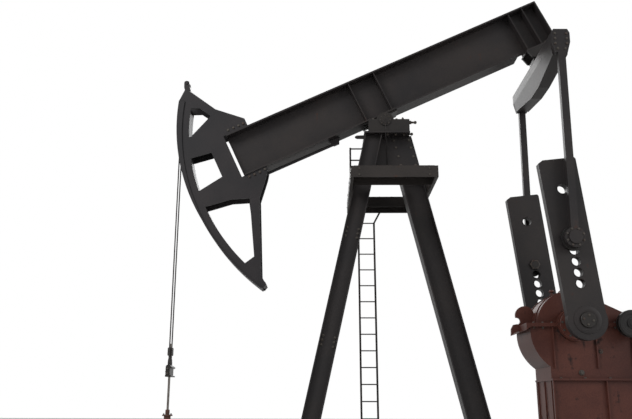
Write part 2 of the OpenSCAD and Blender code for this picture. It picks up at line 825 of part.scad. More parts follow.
module pitman_far() {
  color("slategray") pitman(1);
}

// Crank body
module crankshaft() {
  color("silver") pin_y(shaft_x, shaft_z, shaft_d, -crank_out - 30, crank_out + 30);
}

module crank(s) {
  color("slategray") crank_frame() difference() {
    union() {
      pin_y(0, 0, 2 * hub_r, s * crank_y - crank_t / 2, s * crank_y + crank_t / 2);
      plate(s * crank_y - crank_t / 2, s * crank_y + crank_t / 2) polygon([[-hub_r + hub_step, 0],
        [-crank_tip_w / 2, crank_tip - 45], [-crank_tip_w / 2 + 75, crank_tip], [crank_tip_w / 2 - 20, crank_tip],
        [crank_tip_w / 2, crank_tip - 30], [hub_r - hub_step, 0]]);
    }
    pin_y(0, 0, shaft_d + 2 * fit, s * crank_y - crank_t, s * crank_y + crank_t);
    for (k = [0 : 4]) pin_y(0, crank_r - k * hole_pitch, k == 0 ? wrist_pin_d + 2 * fit : hole_d,
      s * crank_y - crank_t, s * crank_y + crank_t);
    pin_y(0, tip_hole_r, tip_hole_d, s * crank_y - crank_t, s * crank_y + crank_t);
  }
}

module crank_near() {
  crank(-1);
}

module crank_far() {
  crank(1);
}

module wrist_pins() {
  color("darkslategray") crank_frame() for (s = [-1, 1]) {
    y0 = s > 0 ? crank_y - crank_t / 2 - 50 : -pitman_in + 6;
    y1 = s > 0 ? pitman_in - 6 : -crank_y + crank_t / 2 + 50;
    pin_y(0, crank_r, wrist_pin_d, y0, y1);
    pin_y(0, crank_r, 2 * wrist_boss_r, s > 0 ? crank_out : -pitman_in + 6, s > 0 ? pitman_in - 6 : -crank_out);
  }
}

// Hanger body
module carrier_bar() {
  color("dimgray") difference() {
    union() {
      block(-55, 55, -150, 150, carrier_z, carrier_z + carrier_h);
      block(-72, 72, -150, 150, carrier_z, carrier_z + 30);
      block(-72, 72, -150, 150, carrier_z + carrier_h - 30, carrier_z + carrier_h);
    }
    translate([0, 0, carrier_z - 1]) cylinder(h = carrier_h + 2, d = rod_d + 2 * fit);
  }
}

module rod_clamp() {
  color("dimgray") difference() {
    union() {
      translate([0, 0, carrier_z + carrier_h]) cylinder(h = 160, d = rod_d + 26);
      block(-48, 48, -60, 60, carrier_z + carrier_h + 150, carrier_z + carrier_h + 290);
    }
    translate([0, 0, carrier_z]) cylinder(h = 1000, d = rod_d + 2 * fit);
  }
}

module polished_rod() {
  color("silver") translate([0, 0, 60]) cylinder(h = carrier_z + carrier_h + 350 - 60, d = rod_d);
}

module bridle_lines() {
  color("silver") for (s = [-1, 1]) translate([0, s * rope_y, carrier_z + carrier_h])
    cylinder(h = pivot_z - carrier_z - carrier_h - 5, d = rope_d, $fn = 16);
}

base_runner_near();
base_runner_far();
base_cross_beams();
post_leg_front_near();
post_leg_front_far();
post_leg_rear();
post_head();
post_ties();
saddle_bearings();
platform_deck_near();
platform_deck_far();
platform_bearers();
ladder();
gear_case_pedestal();
gear_case();
gear_case_cover();
brake_drum();
belt_guard();
motor_stand();
motor();
casing_head();
pumping_tee();
stuffing_box();
walking_beam();
saddle();
head_plate_near();
head_plate_far();
head_face();
head_stiffeners();
head_brace();
rope_anchor();
bridle_wrap();
tail_bracket();
yoke_beam();
tail_bearing();
pitman_near();
pitman_far();
crankshaft();
crank_near();
crank_far();
wrist_pins();
carrier_bar();
rod_clamp();
polished_rod();
bridle_lines();
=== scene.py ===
"""A beam pumping unit at its well head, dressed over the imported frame. Metres, X away from the well, Z up."""

import json
import math

import bpy
from mathutils import Matrix, Vector


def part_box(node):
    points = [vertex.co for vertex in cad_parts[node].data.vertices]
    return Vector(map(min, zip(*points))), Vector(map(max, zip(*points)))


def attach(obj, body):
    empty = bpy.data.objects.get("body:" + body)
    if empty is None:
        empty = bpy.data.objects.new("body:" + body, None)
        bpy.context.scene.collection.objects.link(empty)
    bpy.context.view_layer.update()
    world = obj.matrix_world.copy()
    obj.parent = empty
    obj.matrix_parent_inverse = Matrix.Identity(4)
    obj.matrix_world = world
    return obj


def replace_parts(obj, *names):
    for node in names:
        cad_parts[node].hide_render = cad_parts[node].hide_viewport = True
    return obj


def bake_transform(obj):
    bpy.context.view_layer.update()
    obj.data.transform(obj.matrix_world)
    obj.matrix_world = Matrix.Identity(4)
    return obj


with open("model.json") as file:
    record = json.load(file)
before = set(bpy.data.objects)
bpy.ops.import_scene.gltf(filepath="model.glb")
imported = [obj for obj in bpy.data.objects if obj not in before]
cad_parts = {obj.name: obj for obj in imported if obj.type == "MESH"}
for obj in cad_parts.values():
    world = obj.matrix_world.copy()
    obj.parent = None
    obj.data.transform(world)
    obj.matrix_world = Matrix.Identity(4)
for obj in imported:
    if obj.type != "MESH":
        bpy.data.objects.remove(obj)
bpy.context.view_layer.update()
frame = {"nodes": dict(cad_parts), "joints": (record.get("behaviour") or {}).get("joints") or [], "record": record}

# Turning points, lengths and tilts of the linkage at rest
JOINT = {joint["name"]: joint for joint in frame["joints"]}
PIVOT = Vector(JOINT["beam_swing"]["pos_m"])
SHAFT = Vector(JOINT["crank_turn"]["pos_m"])
TAIL = Vector(JOINT["yoke_swing"]["pos_m"])
TAIL_ARM = (TAIL - PIVOT).length
BEAM_TILT = math.atan2(TAIL.z - PIVOT.z, TAIL.x - PIVOT.x)
CRANK_R = 1.258
CRANK_LEAN = math.radians(6)
WRIST = SHAFT + CRANK_R * Vector((-math.sin(CRANK_LEAN), 0, math.cos(CRANK_LEAN)))
PITMAN_L = (TAIL - WRIST).length
YOKE_LEAN = math.atan2(TAIL.x - WRIST.x, TAIL.z - WRIST.z)

# Each maps a point of a tilted body, measured from its pin, to its place in the frame
ON_BEAM = Matrix.Translation(PIVOT) @ Matrix.Rotation(-BEAM_TILT, 4, "Y")
ON_CRANK = Matrix.Translation(SHAFT) @ Matrix.Rotation(-CRANK_LEAN, 4, "Y")
ON_YOKE = Matrix.Translation(TAIL) @ Matrix.Rotation(YOKE_LEAN, 4, "Y")
UPRIGHT = Matrix.Identity(4)

# Sizes and places of the solids that the added pieces are fitted to
SIDES = (-1, 1)
BASE_TOP = 0.35
RUNNER_Y = 0.72
RUNNER_FLANGE_T = 0.022
FOOT_PLATE_TOP = BASE_TOP + 0.025
FRONT_FOOT_X, FRONT_TOP_X, FRONT_TOP_Y = 2.115, 3.425, 0.3
REAR_FOOT_X, REAR_TOP_X = 5.282, 3.892
POST_TOP, POST_UNDER = 6.2, 6.17
TIE_HEIGHTS = (2.6, 4.4)
CHEEK_TOP = PIVOT.z + 0.02
DECK_Z, DECK_IN, DECK_OUT = 5.332, 0.7, 1.16
LADDER_X, LADDER_FACE = 3.345, 1.255
CASE_Y, CASE_FOOT, BOSS_FACE = 0.45, 2.03, 0.55
CASE_RIBS = (-0.34, 0.34, 0.91)
SPLIT_FLANGE_T, FLANGE_BOLT_Y = 0.03, 0.475
PINION = SHAFT + Vector((0.85, 0, 0))
GUARD_FACE = 0.77
MOTOR_AXIS = Vector((9.15, 0, 1.15))
STAND_TOP = 0.86
BEAM_FLANGE, BEAM_TOP, BEAM_END = 0.199, 1.003, 3.555
HEAD_PLATE_FACE, TAIL_PIN_FACE = 0.17, 0.1965
ROPE_Y = 0.09
CRANK_OUTSIDE, CRANK_INSIDE, SHAFT_END = 1.1602, 1.0198, 1.1902
HOLE_PITCH, TIP_HOLE_R = 0.174, 2.08
PITMAN_FACE = 1.336

# A plate laid on a solid stands this far off it
HAIR = 0.0005


def along_leg(z, foot_x, top_x):
    """Where the middle of a leg of the post stands at a height."""
    return top_x + (POST_TOP - z) * (foot_x - top_x) / (POST_TOP - BASE_TOP)


def front_leg(side):
    """The place of a front leg, its foot at the origin and the leg along Z, and its rise per metre."""
    foot = Vector((FRONT_FOOT_X, side * RUNNER_Y, BASE_TOP))
    head = Vector((along_leg(POST_UNDER, FRONT_FOOT_X, FRONT_TOP_X), side * FRONT_TOP_Y, POST_UNDER))
    rise = (head - foot).normalized()
    return (Matrix.Translation(foot) @ Matrix.Rotation(math.atan2(rise.x, rise.z), 4, "Y")
            @ Matrix.Rotation(math.asin(-rise.y), 4, "X")), rise.z


# Shaders


class Field:
    """A shader socket that can be reckoned with."""

    def __init__(self, finish, socket):
        self.finish, self.socket = finish, socket

    def reckon(self, operation, first, second):
        return self.finish.node("ShaderNodeMath", {"operation": operation}, {0: first, 1: second})

    def __add__(self, other):
        return self.reckon("ADD", self, other)

    def __radd__(self, other):
        return self.reckon("ADD", other, self)

    def __sub__(self, other):
        return self.reckon("SUBTRACT", self, other)

    def __mul__(self, other):
        return self.reckon("MULTIPLY", self, other)


class Finish:
    """A material, made node by node on its Principled shader."""

    def __init__(self, name, **constants):
        self.material = bpy.data.materials.new(name)
        self.material.use_nodes = True
        self.tree = self.material.node_tree
        self.shader = self.tree.nodes["Principled BSDF"]
        for socket, value in constants.items():
            self.shader.inputs[socket.replace("_", " ")].default_value = value
        self.place = self.node("ShaderNodeTexCoord", out="Object")

    def node(self, kind, settings=None, values=None, out=0):
        made = self.tree.nodes.new(kind)
        for key, setting in (settings or {}).items():
            setattr(made, key, setting)
        for key, value in (values or {}).items():
            if isinstance(value, Field):
                self.tree.links.new(value.socket, made.inputs[key])
            else:
                made.inputs[key].default_value = value
        return Field(self, made.outputs[out])

    def feed(self, socket, field):
        self.tree.links.new(field.socket, self.shader.inputs[socket])

    def noise(self, scale, detail, stretch=(1, 1, 1), shift=0.0):
        spot = self.node("ShaderNodeMapping", None,
                         {"Vector": self.place, "Scale": stretch, "Location": (shift, shift, shift)})
        return self.node("ShaderNodeTexNoise", None,
                         {"Vector": spot, "Scale": scale, "Detail": detail, "Roughness": 0.6})

    def step(self, field, low, high):
        return self.node("ShaderNodeMapRange", {"interpolation_type": "SMOOTHSTEP"},
                         {"Value": field, "From Min": low, "From Max": high})

    def mix(self, share, first, second):
        return self.node("ShaderNodeMix", {"data_type": "RGBA"}, {0: share, 6: first, 7: second}, out=2)

    def axes(self):
        split = self.tree.nodes.new("ShaderNodeSeparateXYZ")
        self.tree.links.new(self.place.socket, split.inputs[0])
        return [Field(self, output) for output in split.outputs]

    def relief(self, height, depth, strength):
        self.feed("Normal", self.node("ShaderNodeBump", None,
                                      {"Height": height, "Distance": depth, "Strength": strength}))


def tone(colour):
    """A colour as it is seen on a screen, each part from 0 to 255, made linear for a shader."""
    def linear(share):
        return share / 12.92 if share <= 0.04045 else ((share + 0.055) / 1.055) ** 2.4
    return (*(linear(part / 255) for part in colour), 1)


def weathered_paint(name, paint, worn, rust, amount, rough=0.55, shift=0.0):
    """Paint that has gone dull and patchy, with rust that starts in patches and runs down in streaks."""
    paint, worn, rust = tone(paint), tone(worn), tone(rust)
    deep_rust = (*(0.55 * part for part in rust[:3]), 1)
    finish = Finish(name, Metallic=0.0, Specular_IOR_Level=0.18)
    patches = finish.noise(1.1, 3, shift=shift)
    blots = finish.noise(8, 6, shift=shift)
    runs = finish.noise(9, 5, (1, 1, 0.06), shift)
    specks = finish.noise(70, 3, shift=shift)
    faded = finish.mix(finish.step(patches * 0.6 + specks * 0.4, 0.35, 0.65), paint, worn)
    rusty = finish.step(patches * 0.35 + blots * 0.35 + runs * 0.3, 0.66 - amount, 0.74 - amount)
    finish.feed("Base Color", finish.mix(rusty, faded, finish.mix(specks, rust, deep_rust)))
    finish.feed("Roughness", rough + rusty * 0.3 - specks * 0.08)
    finish.relief(specks * 0.4 + blots * 0.2 + rusty * 0.7, 0.003, 0.5)
    return finish.material


def deck_plate(name, paint, worn, rust):
    """Walkway plate with raised diagonal treads, trodden bare along the ridges."""
    finish = Finish(name, Metallic=0.0, Specular_IOR_Level=0.18)
    x, y, _ = finish.axes()

    def ridge(field):
        return finish.step(finish.node("ShaderNodeMath", {"operation": "SINE"}, {0: field}), 0.55, 0.9)

    treads = ridge((x + y) * 95.0) * ridge((x - y) * 32.0)
    specks = finish.noise(80, 3)
    rusty = finish.step(finish.noise(6, 6) * 0.7 + specks * 0.3, 0.5, 0.62)
    finish.feed("Base Color", finish.mix(rusty, finish.mix(treads, tone(paint), tone(worn)), tone(rust)))
    finish.feed("Roughness", 0.5 + rusty * 0.3)
    finish.relief(treads + specks * 0.15, 0.004, 0.7)
    return finish.material


def bare_metal(name, metal, grime, rough, grain=(1, 1, 1), metallic=0.9):
    """Machined or worn steel with grime in it."""
    finish = Finish(name, Metallic=metallic)
    scratches = finish.noise(40, 5, grain)
    dirty = finish.step(finish.noise(9, 5) * 0.7 + scratches * 0.3, 0.5, 0.68)
    finish.feed("Base Color", finish.mix(dirty, tone(metal), tone(grime)))
    finish.feed("Roughness", rough + dirty * 0.3 + scratches * 0.1)
    finish.relief(scratches, 0.001, 0.3)
    return finish.material


# What each material slot of the record wears
DRESS = {
    "structure_paint": weathered_paint("structure paint", (25, 23, 24), (36, 32, 31), (60, 37, 28), 0.07),
    "base_paint": weathered_paint("base paint", (31, 26, 24), (43, 36, 33), (60, 39, 31), 0.10, shift=5.0),
    "guard_paint": weathered_paint(
        "guard paint", (28, 25, 24), (40, 36, 34), (60, 38, 29), 0.07, shift=7.0),
    "case_paint": weathered_paint(
        "gear case paint", (54, 26, 21), (70, 38, 30), (34, 22, 20), 0.12, shift=11.0),
    "well_paint": weathered_paint(
        "well head paint", (58, 36, 30), (74, 48, 38), (44, 30, 25), 0.12, shift=13.0),
    "motor_paint": weathered_paint(
        "motor paint", (46, 48, 50), (62, 64, 63), (70, 44, 34), 0.04, 0.45, 17.0),
    "cast_parts": weathered_paint(
        "oily castings", (25, 24, 24), (36, 33, 31), (54, 36, 28), 0.06, 0.42, 19.0),
    "bright_steel": bare_metal("bright steel", (98, 94, 90), (52, 44, 38), 0.28, (1, 1, 0.1)),
    "wire_rope": bare_metal("greased wire rope", (36, 34, 32), (20, 18, 17), 0.45, metallic=0.4)}
# What some pieces of those slots wear instead
HEAD = weathered_paint("horse head paint", (24, 23, 25), (35, 32, 33), (56, 36, 29), 0.06, shift=3.0)
DECK = deck_plate("deck plate", (30, 27, 26), (66, 60, 56), (60, 38, 29))
FASTENER = bare_metal("fasteners", (58, 54, 50), (58, 38, 30), 0.5, metallic=0.6)


# Modelling by hand


def put_down():
    if bpy.context.object and bpy.context.object.mode != "OBJECT":
        bpy.ops.object.mode_set(mode="OBJECT")
    bpy.ops.object.select_all(action="DESELECT")


def pick_up(piece):
    put_down()
    piece.select_set(True)
    bpy.context.view_layer.objects.active = piece


def edit(piece):
    """Opens a piece in edit mode, with all of it selected."""
    pick_up(piece)
    bpy.ops.object.mode_set(mode="EDIT")
    bpy.ops.mesh.select_all(action="SELECT")


def face_outwards():
    bpy.ops.mesh.select_all(action="SELECT")
    bpy.ops.mesh.normals_make_consistent(inside=False)


def settle(piece, place=UPRIGHT):
    """Puts the piece's place into its mesh, so that its object sits at the origin."""
    put_down()
    piece.data.transform(place @ piece.matrix_world)
    piece.matrix_world = Matrix.Identity(4)
    return piece


def smooth(piece, angle):
    pick_up(piece)
    bpy.ops.object.shade_smooth_by_angle(angle=math.radians(angle))
    return piece


def dress(piece, slot, material=None):
    """Gives a piece the finish of its slot, or another finish."""
    piece.data.materials.clear()
    piece.data.materials.append(material or DRESS[slot])
    return piece


def done(piece, body, slot, material=None):
    """Dresses a finished piece and lets it ride on its body."""
    dress(piece, slot, material)
    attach(piece, body)
    return piece


def stock(name, low, high, soften, place=UPRIGHT):
    """A block of stock between two corners, its edges softened."""
    put_down()
    low, high = Vector(low), Vector(high)
    bpy.ops.mesh.primitive_cube_add(size=1, location=(low + high) / 2, scale=high - low)
    piece = bpy.context.object
    piece.name = name
    edit(settle(piece))
    bpy.ops.mesh.bevel(offset=soften, segments=2, affect="EDGES")
    return settle(piece, place)


def turned(name, profile, sides, place=UPRIGHT, angle=30):
    """A piece turned about Z: a disc at the first radius and height is extruded from ring to ring."""
    put_down()
    (radius, height), *rest = profile
    bpy.ops.mesh.primitive_circle_add(
        vertices=sides, radius=radius, fill_type="NGON", location=(0, 0, height))
    piece = bpy.context.object
    piece.name = name
    edit(settle(piece))
    for next_radius, next_height in rest:
        bpy.ops.mesh.extrude_region_move(TRANSFORM_OT_translate={"value": (0, 0, next_height - height)})
        share = next_radius / radius
        bpy.ops.transform.resize(value=(share, share, 1), center_override=(0, 0, next_height))
        radius, height = next_radius, next_height
    face_outwards()
    return settle(smooth(piece, angle), place)


def outlined(name, outline, y, fill):
    """An outline of x and z, laid out at y and opened in edit mode."""
    put_down()
    bpy.ops.mesh.primitive_circle_add(vertices=len(outline), radius=1, fill_type=fill)
    piece = bpy.context.object
    piece.name = name
    for vertex, (x, z) in zip(piece.data.vertices, outline):
        vertex.co = (x, y, z)
    edit(piece)
    return piece


def cut_plate(name, outline, low, high, soften=0.002, place=UPRIGHT):
    """A plate cut to an outline of x and z, from low to high along Y."""
    piece = outlined(name, outline, low, "NGON")
    bpy.ops.mesh.extrude_region_move(TRANSFORM_OT_translate={"value": (0, high - low, 0)})
    face_outwards()
    bpy.ops.mesh.bevel(offset=soften, segments=1, affect="EDGES")
    return settle(piece, place)


def rim(name, outline, width, low, high):
    """A raised edge along the inside of an outline of x and z, from low to high along Y."""
    piece = outlined(name, outline, low, "NGON")
    bpy.ops.mesh.inset(thickness=width)
    bpy.ops.mesh.delete(type="FACE")
    bpy.ops.mesh.select_all(action="SELECT")
    bpy.ops.mesh.extrude_region_move(TRANSFORM_OT_translate={"value": (0, high - low, 0)})
    face_outwards()
    return settle(smooth(piece, 25))


def spun(name, profile, sides, place=UPRIGHT):
    """A ring or drum: a closed outline of radii and heights, spun about Z."""
    piece = outlined(name, profile, 0, "NOTHING")
    bpy.ops.mesh.spin(steps=sides, angle=2 * math.pi, center=(0, 0, 0), axis=(0, 0, 1))
    bpy.ops.mesh.select_all(action="SELECT")
    bpy.ops.mesh.remove_doubles(threshold=0.0001)
    face_outwards()
    return settle(smooth(piece, 30), place)


def piped(name, points, radius):
    """A bent pipe along points, drawn as a path with a round section."""
    put_down()
    bpy.ops.curve.primitive_nurbs_path_add()
    piece = bpy.context.object
    piece.name = name
    line = piece.data.splines[0]
    line.type = "POLY"
    while len(line.points) < len(points):
        line.points.add(1)
    for k, knot in enumerate(line.points):
        knot.co = (*points[min(k, len(points) - 1)], 1)
    piece.data.bevel_depth, piece.data.bevel_resolution, piece.data.use_fill_caps = radius, 2, True
    pick_up(piece)
    bpy.ops.object.convert(target="MESH")
    edit(bpy.context.object)
    bpy.ops.mesh.remove_doubles(threshold=0.0002)
    face_outwards()
    return settle(bpy.context.object)


def joined(name, pieces):
    put_down()
    for piece in pieces:
        piece.select_set(True)
    bpy.context.view_layer.objects.active = pieces[0]
    if len(pieces) > 1:
        bpy.ops.object.join()
    pieces[0].name = name
    return pieces[0]


MODELS = []


def model_of(name, *pieces):
    """A piece that is there only to be copied."""
    MODELS.append(joined(name, pieces))
    return MODELS[-1]


def copies(name, model, places):
    """The model copied to each place, every copy with its own mesh, joined to one piece."""
    made = []
    for place in places:
        copy = model.copy()
        copy.data = model.data.copy()
        copy.data.transform(place)
        bpy.context.collection.objects.link(copy)
        made.append(copy)
    return joined(name, made)


def fasteners(name, model, places, body):
    return done(copies(name, model, places), body, "cast_parts", FASTENER)


# Places


def both(*distances):
    """The distances on both sides of the middle."""
    return [side * distance for side in SIDES for distance in distances]


def spread(low, high, count):
    return [low + k * (high - low) / (count - 1) for k in range(count)]


def arc(centre, radius, start, end, steps):
    """Points on an arc of x and z, its angles in degrees from +X towards +Z."""
    return [(centre[0] + radius * math.cos(math.radians(a)), centre[1] + radius * math.sin(math.radians(a)))
            for a in spread(start, end, steps + 1)]


def spot_of(point):
    return point.x, point.z


def facing(point, way, size=1.0, turn=0.0):
    """The place of a fastener that stands on a point and faces a way."""
    aim = Vector(way).normalized().to_track_quat("Z", "X").to_matrix().to_4x4()
    return Matrix.Translation(Vector(point)) @ aim @ Matrix.Rotation(turn, 4, "Z") @ Matrix.Scale(size, 4)


def on(place, point, way, size=1.0):
    """The same on a tilted body."""
    return facing(place @ Vector(point), place.to_3x3() @ Vector(way), size)


def grid(xs, ys, z, way=(0, 0, 1), size=1.0, place=UPRIGHT):
    """Places on a level face."""
    return [on(place, (x, y, z), way, size) for x in xs for y in ys]


def on_end(x, way, ys, zs, size=1.0, place=UPRIGHT):
    """Places on a face across X that looks along +X or -X."""
    return [on(place, (x, y, z), (way, 0, 0), size) for y in ys for z in zs]


def on_side(side, spots, y, size=1.0, place=UPRIGHT):
    """Places at spots of x and z on one side, y from the middle, that face outwards."""
    return [on(place, (x, side * y, z), (0, side, 0), size) for x, z in spots]


def on_sides(spots, y, size=1.0, place=UPRIGHT):
    return on_side(-1, spots, y, size, place) + on_side(1, spots, y, size, place)


def round_of(centre, way, radius, count, turn=0.0, size=1.0, place=UPRIGHT):
    """Places in a ring about an axis."""
    middle, aim = Vector(centre), Vector(way).normalized()
    side = aim.orthogonal().normalized()
    across = aim.cross(side)
    return [place @ facing(middle + radius * (math.cos(a) * side + math.sin(a) * across), way, size, a)
            for a in (turn + k * 2 * math.pi / count for k in range(count))]


def rings(spot, y, radius, count, turn=0.0, size=1.0, place=UPRIGHT):
    """A ring of places about a spot of x and z on each side."""
    x, z = spot
    return [found for side in SIDES
            for found in round_of((x, side * y, z), (0, side, 0), radius, count, turn, size, place)]


def about_well(radius, count, z, turn=0.0, way=1, size=1.0):
    """Places in a ring about the well, on a level face that looks up or down."""
    return [facing((radius * math.cos(a), radius * math.sin(a), z), (0, 0, way), size)
            for a in (turn + k * 2 * math.pi / count for k in range(count))]


# A bolt head on its washer and a nut on its stud, for a 24 mm thread; other sizes are scaled copies
WASHER = [(0.024, 0.0), (0.025, 0.001), (0.025, 0.004), (0.024, 0.005)]
bolt_head = model_of(
    "bolt head",
    turned("washer", WASHER, 20),
    turned("hexagon", [(0.0205, 0.004), (0.0205, 0.017), (0.0175, 0.020)], 6, angle=20))
stud_nut = model_of(
    "stud nut",
    turned("washer", WASHER, 20),
    turned("nut", [(0.0185, 0.0045), (0.0205, 0.007), (0.0205, 0.023), (0.0178, 0.026)], 6, angle=20),
    turned("stud", [(0.012, 0.02), (0.012, 0.036), (0.0095, 0.039)], 14))

# Base frame

fasteners("anchor_nuts_base", stud_nut,
          grid((1.75, 3.0, 4.3, 5.7, 8.4, 9.9), both(RUNNER_Y + 0.07), RUNNER_FLANGE_T, size=1.2), "root")
WEB_OUTLINE = [(0.008, 0.036), (0.022, 0.0225), (0.104, 0.0225),
               (0.104, 0.3275), (0.022, 0.3275), (0.008, 0.314)]
web_plate = model_of("web plate", cut_plate("web plate", WEB_OUTLINE, -0.007, 0.007))
CROSS_BEAM_XS = (1.61, FRONT_FOOT_X, PIVOT.x, REAR_FOOT_X,
                 SHAFT.x - 0.42, SHAFT.x + 0.48, 7.95, MOTOR_AXIS.x, 10.19)
web_places = [Matrix.Translation((x, side * RUNNER_Y, 0)) @ Matrix.Rotation(side * math.pi / 2, 4, "Z")
              for x in CROSS_BEAM_XS for side in SIDES]
done(copies("runner_web_plates", web_plate, web_places), "root", "base_paint")
fasteners("pedestal_nuts", stud_nut, grid((6.22, 7.08, 7.74), both(FLANGE_BOLT_Y), BASE_TOP + 0.024), "root")
fasteners("motor_stand_bolts", bolt_head,
          grid([MOTOR_AXIS.x + k for k in both(0.295, 0.345)], both(0.68), STAND_TOP, size=0.8), "root")

# Post

fasteners("post_foot_nuts", stud_nut,
          grid((1.915, 2.315), both(0.655, 0.785), FOOT_PLATE_TOP)
          + grid((5.04, 5.525), both(0.14), FOOT_PLATE_TOP), "root")
gusset_foot = FOOT_PLATE_TOP + HAIR
FRONT_GUSSETS = (
    [(1.95, gusset_foot), (1.885, gusset_foot), (1.885, 0.39), (1.992, 0.53), (2.01, 0.53),
     (1.975, gusset_foot)],
    [(2.265, gusset_foot), (2.345, gusset_foot), (2.345, 0.39), (2.315, 0.53), (2.3, 0.53)])
REAR_GUSSETS = (
    [(5.09, gusset_foot), (5.01, gusset_foot), (5.01, 0.39), (5.038, 0.52), (5.06, 0.52)],
    [(5.464, gusset_foot), (5.552, gusset_foot), (5.552, 0.39), (5.444, 0.54), (5.424, 0.54)])
foot_gussets = [cut_plate("gusset", outline, middle - 0.008, middle + 0.008)
                for outlines, y in ((FRONT_GUSSETS, 0.713), (REAR_GUSSETS, 0.085))
                for outline in outlines for middle in both(y)]
done(joined("post_foot_gussets", foot_gussets), "root", "structure_paint")

tie_plates, tie_bolts = [], []
for side in SIDES:
    leg, rise = front_leg(side)
    for height in TIE_HEIGHTS:
        along = (height - BASE_TOP) / rise
        inner, outer = sorted((-side * 0.0075, -side * 0.0195))
        tie_plates.append(stock(
            "tie plate", (-0.124, inner, along - 0.115), (0.124, outer, along + 0.115), 0.003, leg))
        tie_bolts += [on(leg, (x, side * 0.0075, along + climb), (0, side, 0))
                      for x in both(0.099) for climb in (-0.075, 0, 0.075)]
done(joined("tie_end_plates", tie_plates), "root", "structure_paint")
fasteners("tie_bolts", bolt_head, tie_bolts, "root")

post_spots = [(along_leg(z, REAR_FOOT_X, REAR_TOP_X) + k, z)
              for z in (5.5, 5.66, 5.82, 5.98, 6.12) for k in both(0.13)]
fasteners("post_head_bolts", bolt_head, on_sides(post_spots, 0.166), "root")
fasteners("head_plate_nuts", stud_nut,
          grid((3.66, 3.8, 3.94), both(0.36), POST_UNDER, (0, 0, -1), 0.9), "root")
post_lug = [
    cut_plate("lug", [(3.262, 6.095), (3.13, 6.098), (3.1, 6.11), (3.09, 6.128), (3.1, 6.146), (3.13, 6.158),
                      (3.262, 6.162)], -0.32, -0.296, 0.003),
    turned("lug pin", [(0.016, 0), (0.018, 0.002), (0.018, 0.052), (0.016, 0.054)], 16,
           facing((3.13, -0.335, 6.128), (0, 1, 0)))]
done(joined("post_lug", post_lug), "root", "structure_paint")

# Saddle bearings, with the screws that set them along the post

cheek_ys = both(0.24, 0.33)
fasteners("saddle_bearing_bolts", bolt_head, grid((3.42, 3.82), cheek_ys, CHEEK_TOP, size=1.1), "root")
fasteners("saddle_bearing_studs", stud_nut, grid((3.93,), cheek_ys, CHEEK_TOP, size=1.1), "root")
bearing_cap = model_of("bearing cap", turned(
    "cap", [(0.100, 0.0), (0.103, 0.003), (0.103, 0.014), (0.099, 0.018), (0.070, 0.018), (0.066, 0.024),
            (0.02, 0.024)], 40))
done(copies("saddle_bearing_caps", bearing_cap, on_sides([spot_of(PIVOT)], 0.3705)), "root", "cast_parts")
fasteners("saddle_cap_bolts", bolt_head, rings(spot_of(PIVOT), 0.3885, 0.085, 8, size=0.5), "root")
setting_screw = model_of(
    "setting screw",
    turned("screw", [(0.018, 0.0), (0.018, 0.13), (0.014, 0.134)], 16),
    turned("lock nut", [(0.029, 0.006), (0.032, 0.010), (0.032, 0.036), (0.029, 0.040)], 6, angle=20),
    turned("head", [(0.025, 0.092), (0.028, 0.096), (0.028, 0.120), (0.025, 0.124)], 6, angle=20))
fasteners("setting_screws", setting_screw, on_end(4.0415, 1, both(0.29), (6.405,)), "root")

GREASE_ROUTE = [(3.62, 0.394, 6.42), (3.62, 0.42, 6.42), (3.62, 0.42, 6.10),
                (3.66, 0.2, 5.98), (3.66, 0.176, 5.9), (3.66, 0.176, 5.45)]
grease = [piped("grease pipe", [(x, side * y, z) for x, y, z in GREASE_ROUTE], 0.006) for side in SIDES]
done(joined("grease_pipes", grease), "root", "structure_paint")

# Walkway and ladder

deck_front, deck_rear = (corner.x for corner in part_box("platform_deck_near"))
tread_top = DECK_Z + HAIR + 0.005
for side, word in ((-1, "near"), (1, "far")):
    inner, outer = sorted((side * (DECK_IN + 0.005), side * (DECK_OUT - 0.005)))
    tread = stock("walkway_plate_" + word, (deck_front + 0.004, inner, DECK_Z + HAIR),
                  (deck_rear - 0.004, outer, tread_top), 0.0015)
    done(tread, "root", "guard_paint", DECK)
edge_xs = spread(deck_front + 0.09, deck_rear - 0.09, 6)
edge_spots = [(x, z) for x in (edge_xs[0], edge_xs[-1]) for z in (5.185, 5.285)]
fasteners("walkway_bolts", bolt_head,
          on_sides(edge_spots, DECK_OUT + HAIR, 0.7)
          + grid(edge_xs, both(0.735, 1.125), tread_top, size=0.5), "root")
bearer_front, bearer_rear = (corner.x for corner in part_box("platform_bearers"))
fasteners("bearer_bolts", bolt_head,
          on_end(bearer_rear, 1, both(0.09), (5.19, 5.28))
          + on_end(bearer_front, -1, both(0.35, 0.42), (5.19, 5.28), 0.45)
          + on_end(bearer_rear, 1, both(0.76, 1.1), (5.237,), 0.45)
          + on_end(bearer_front, -1, both(0.76, 1.1), (5.237,), 0.45), "root")
fasteners("ladder_bolts", bolt_head,
          on_side(1, [(LADDER_X + k, 5.257) for k in both(0.2875)], LADDER_FACE + HAIR, 0.6)
          + on_side(1, [(LADDER_X + k, z) for k in (-0.145, 0.17) for z in (0.35, 1.25)],
                    LADDER_FACE + HAIR, 0.5), "root")

# Gear case

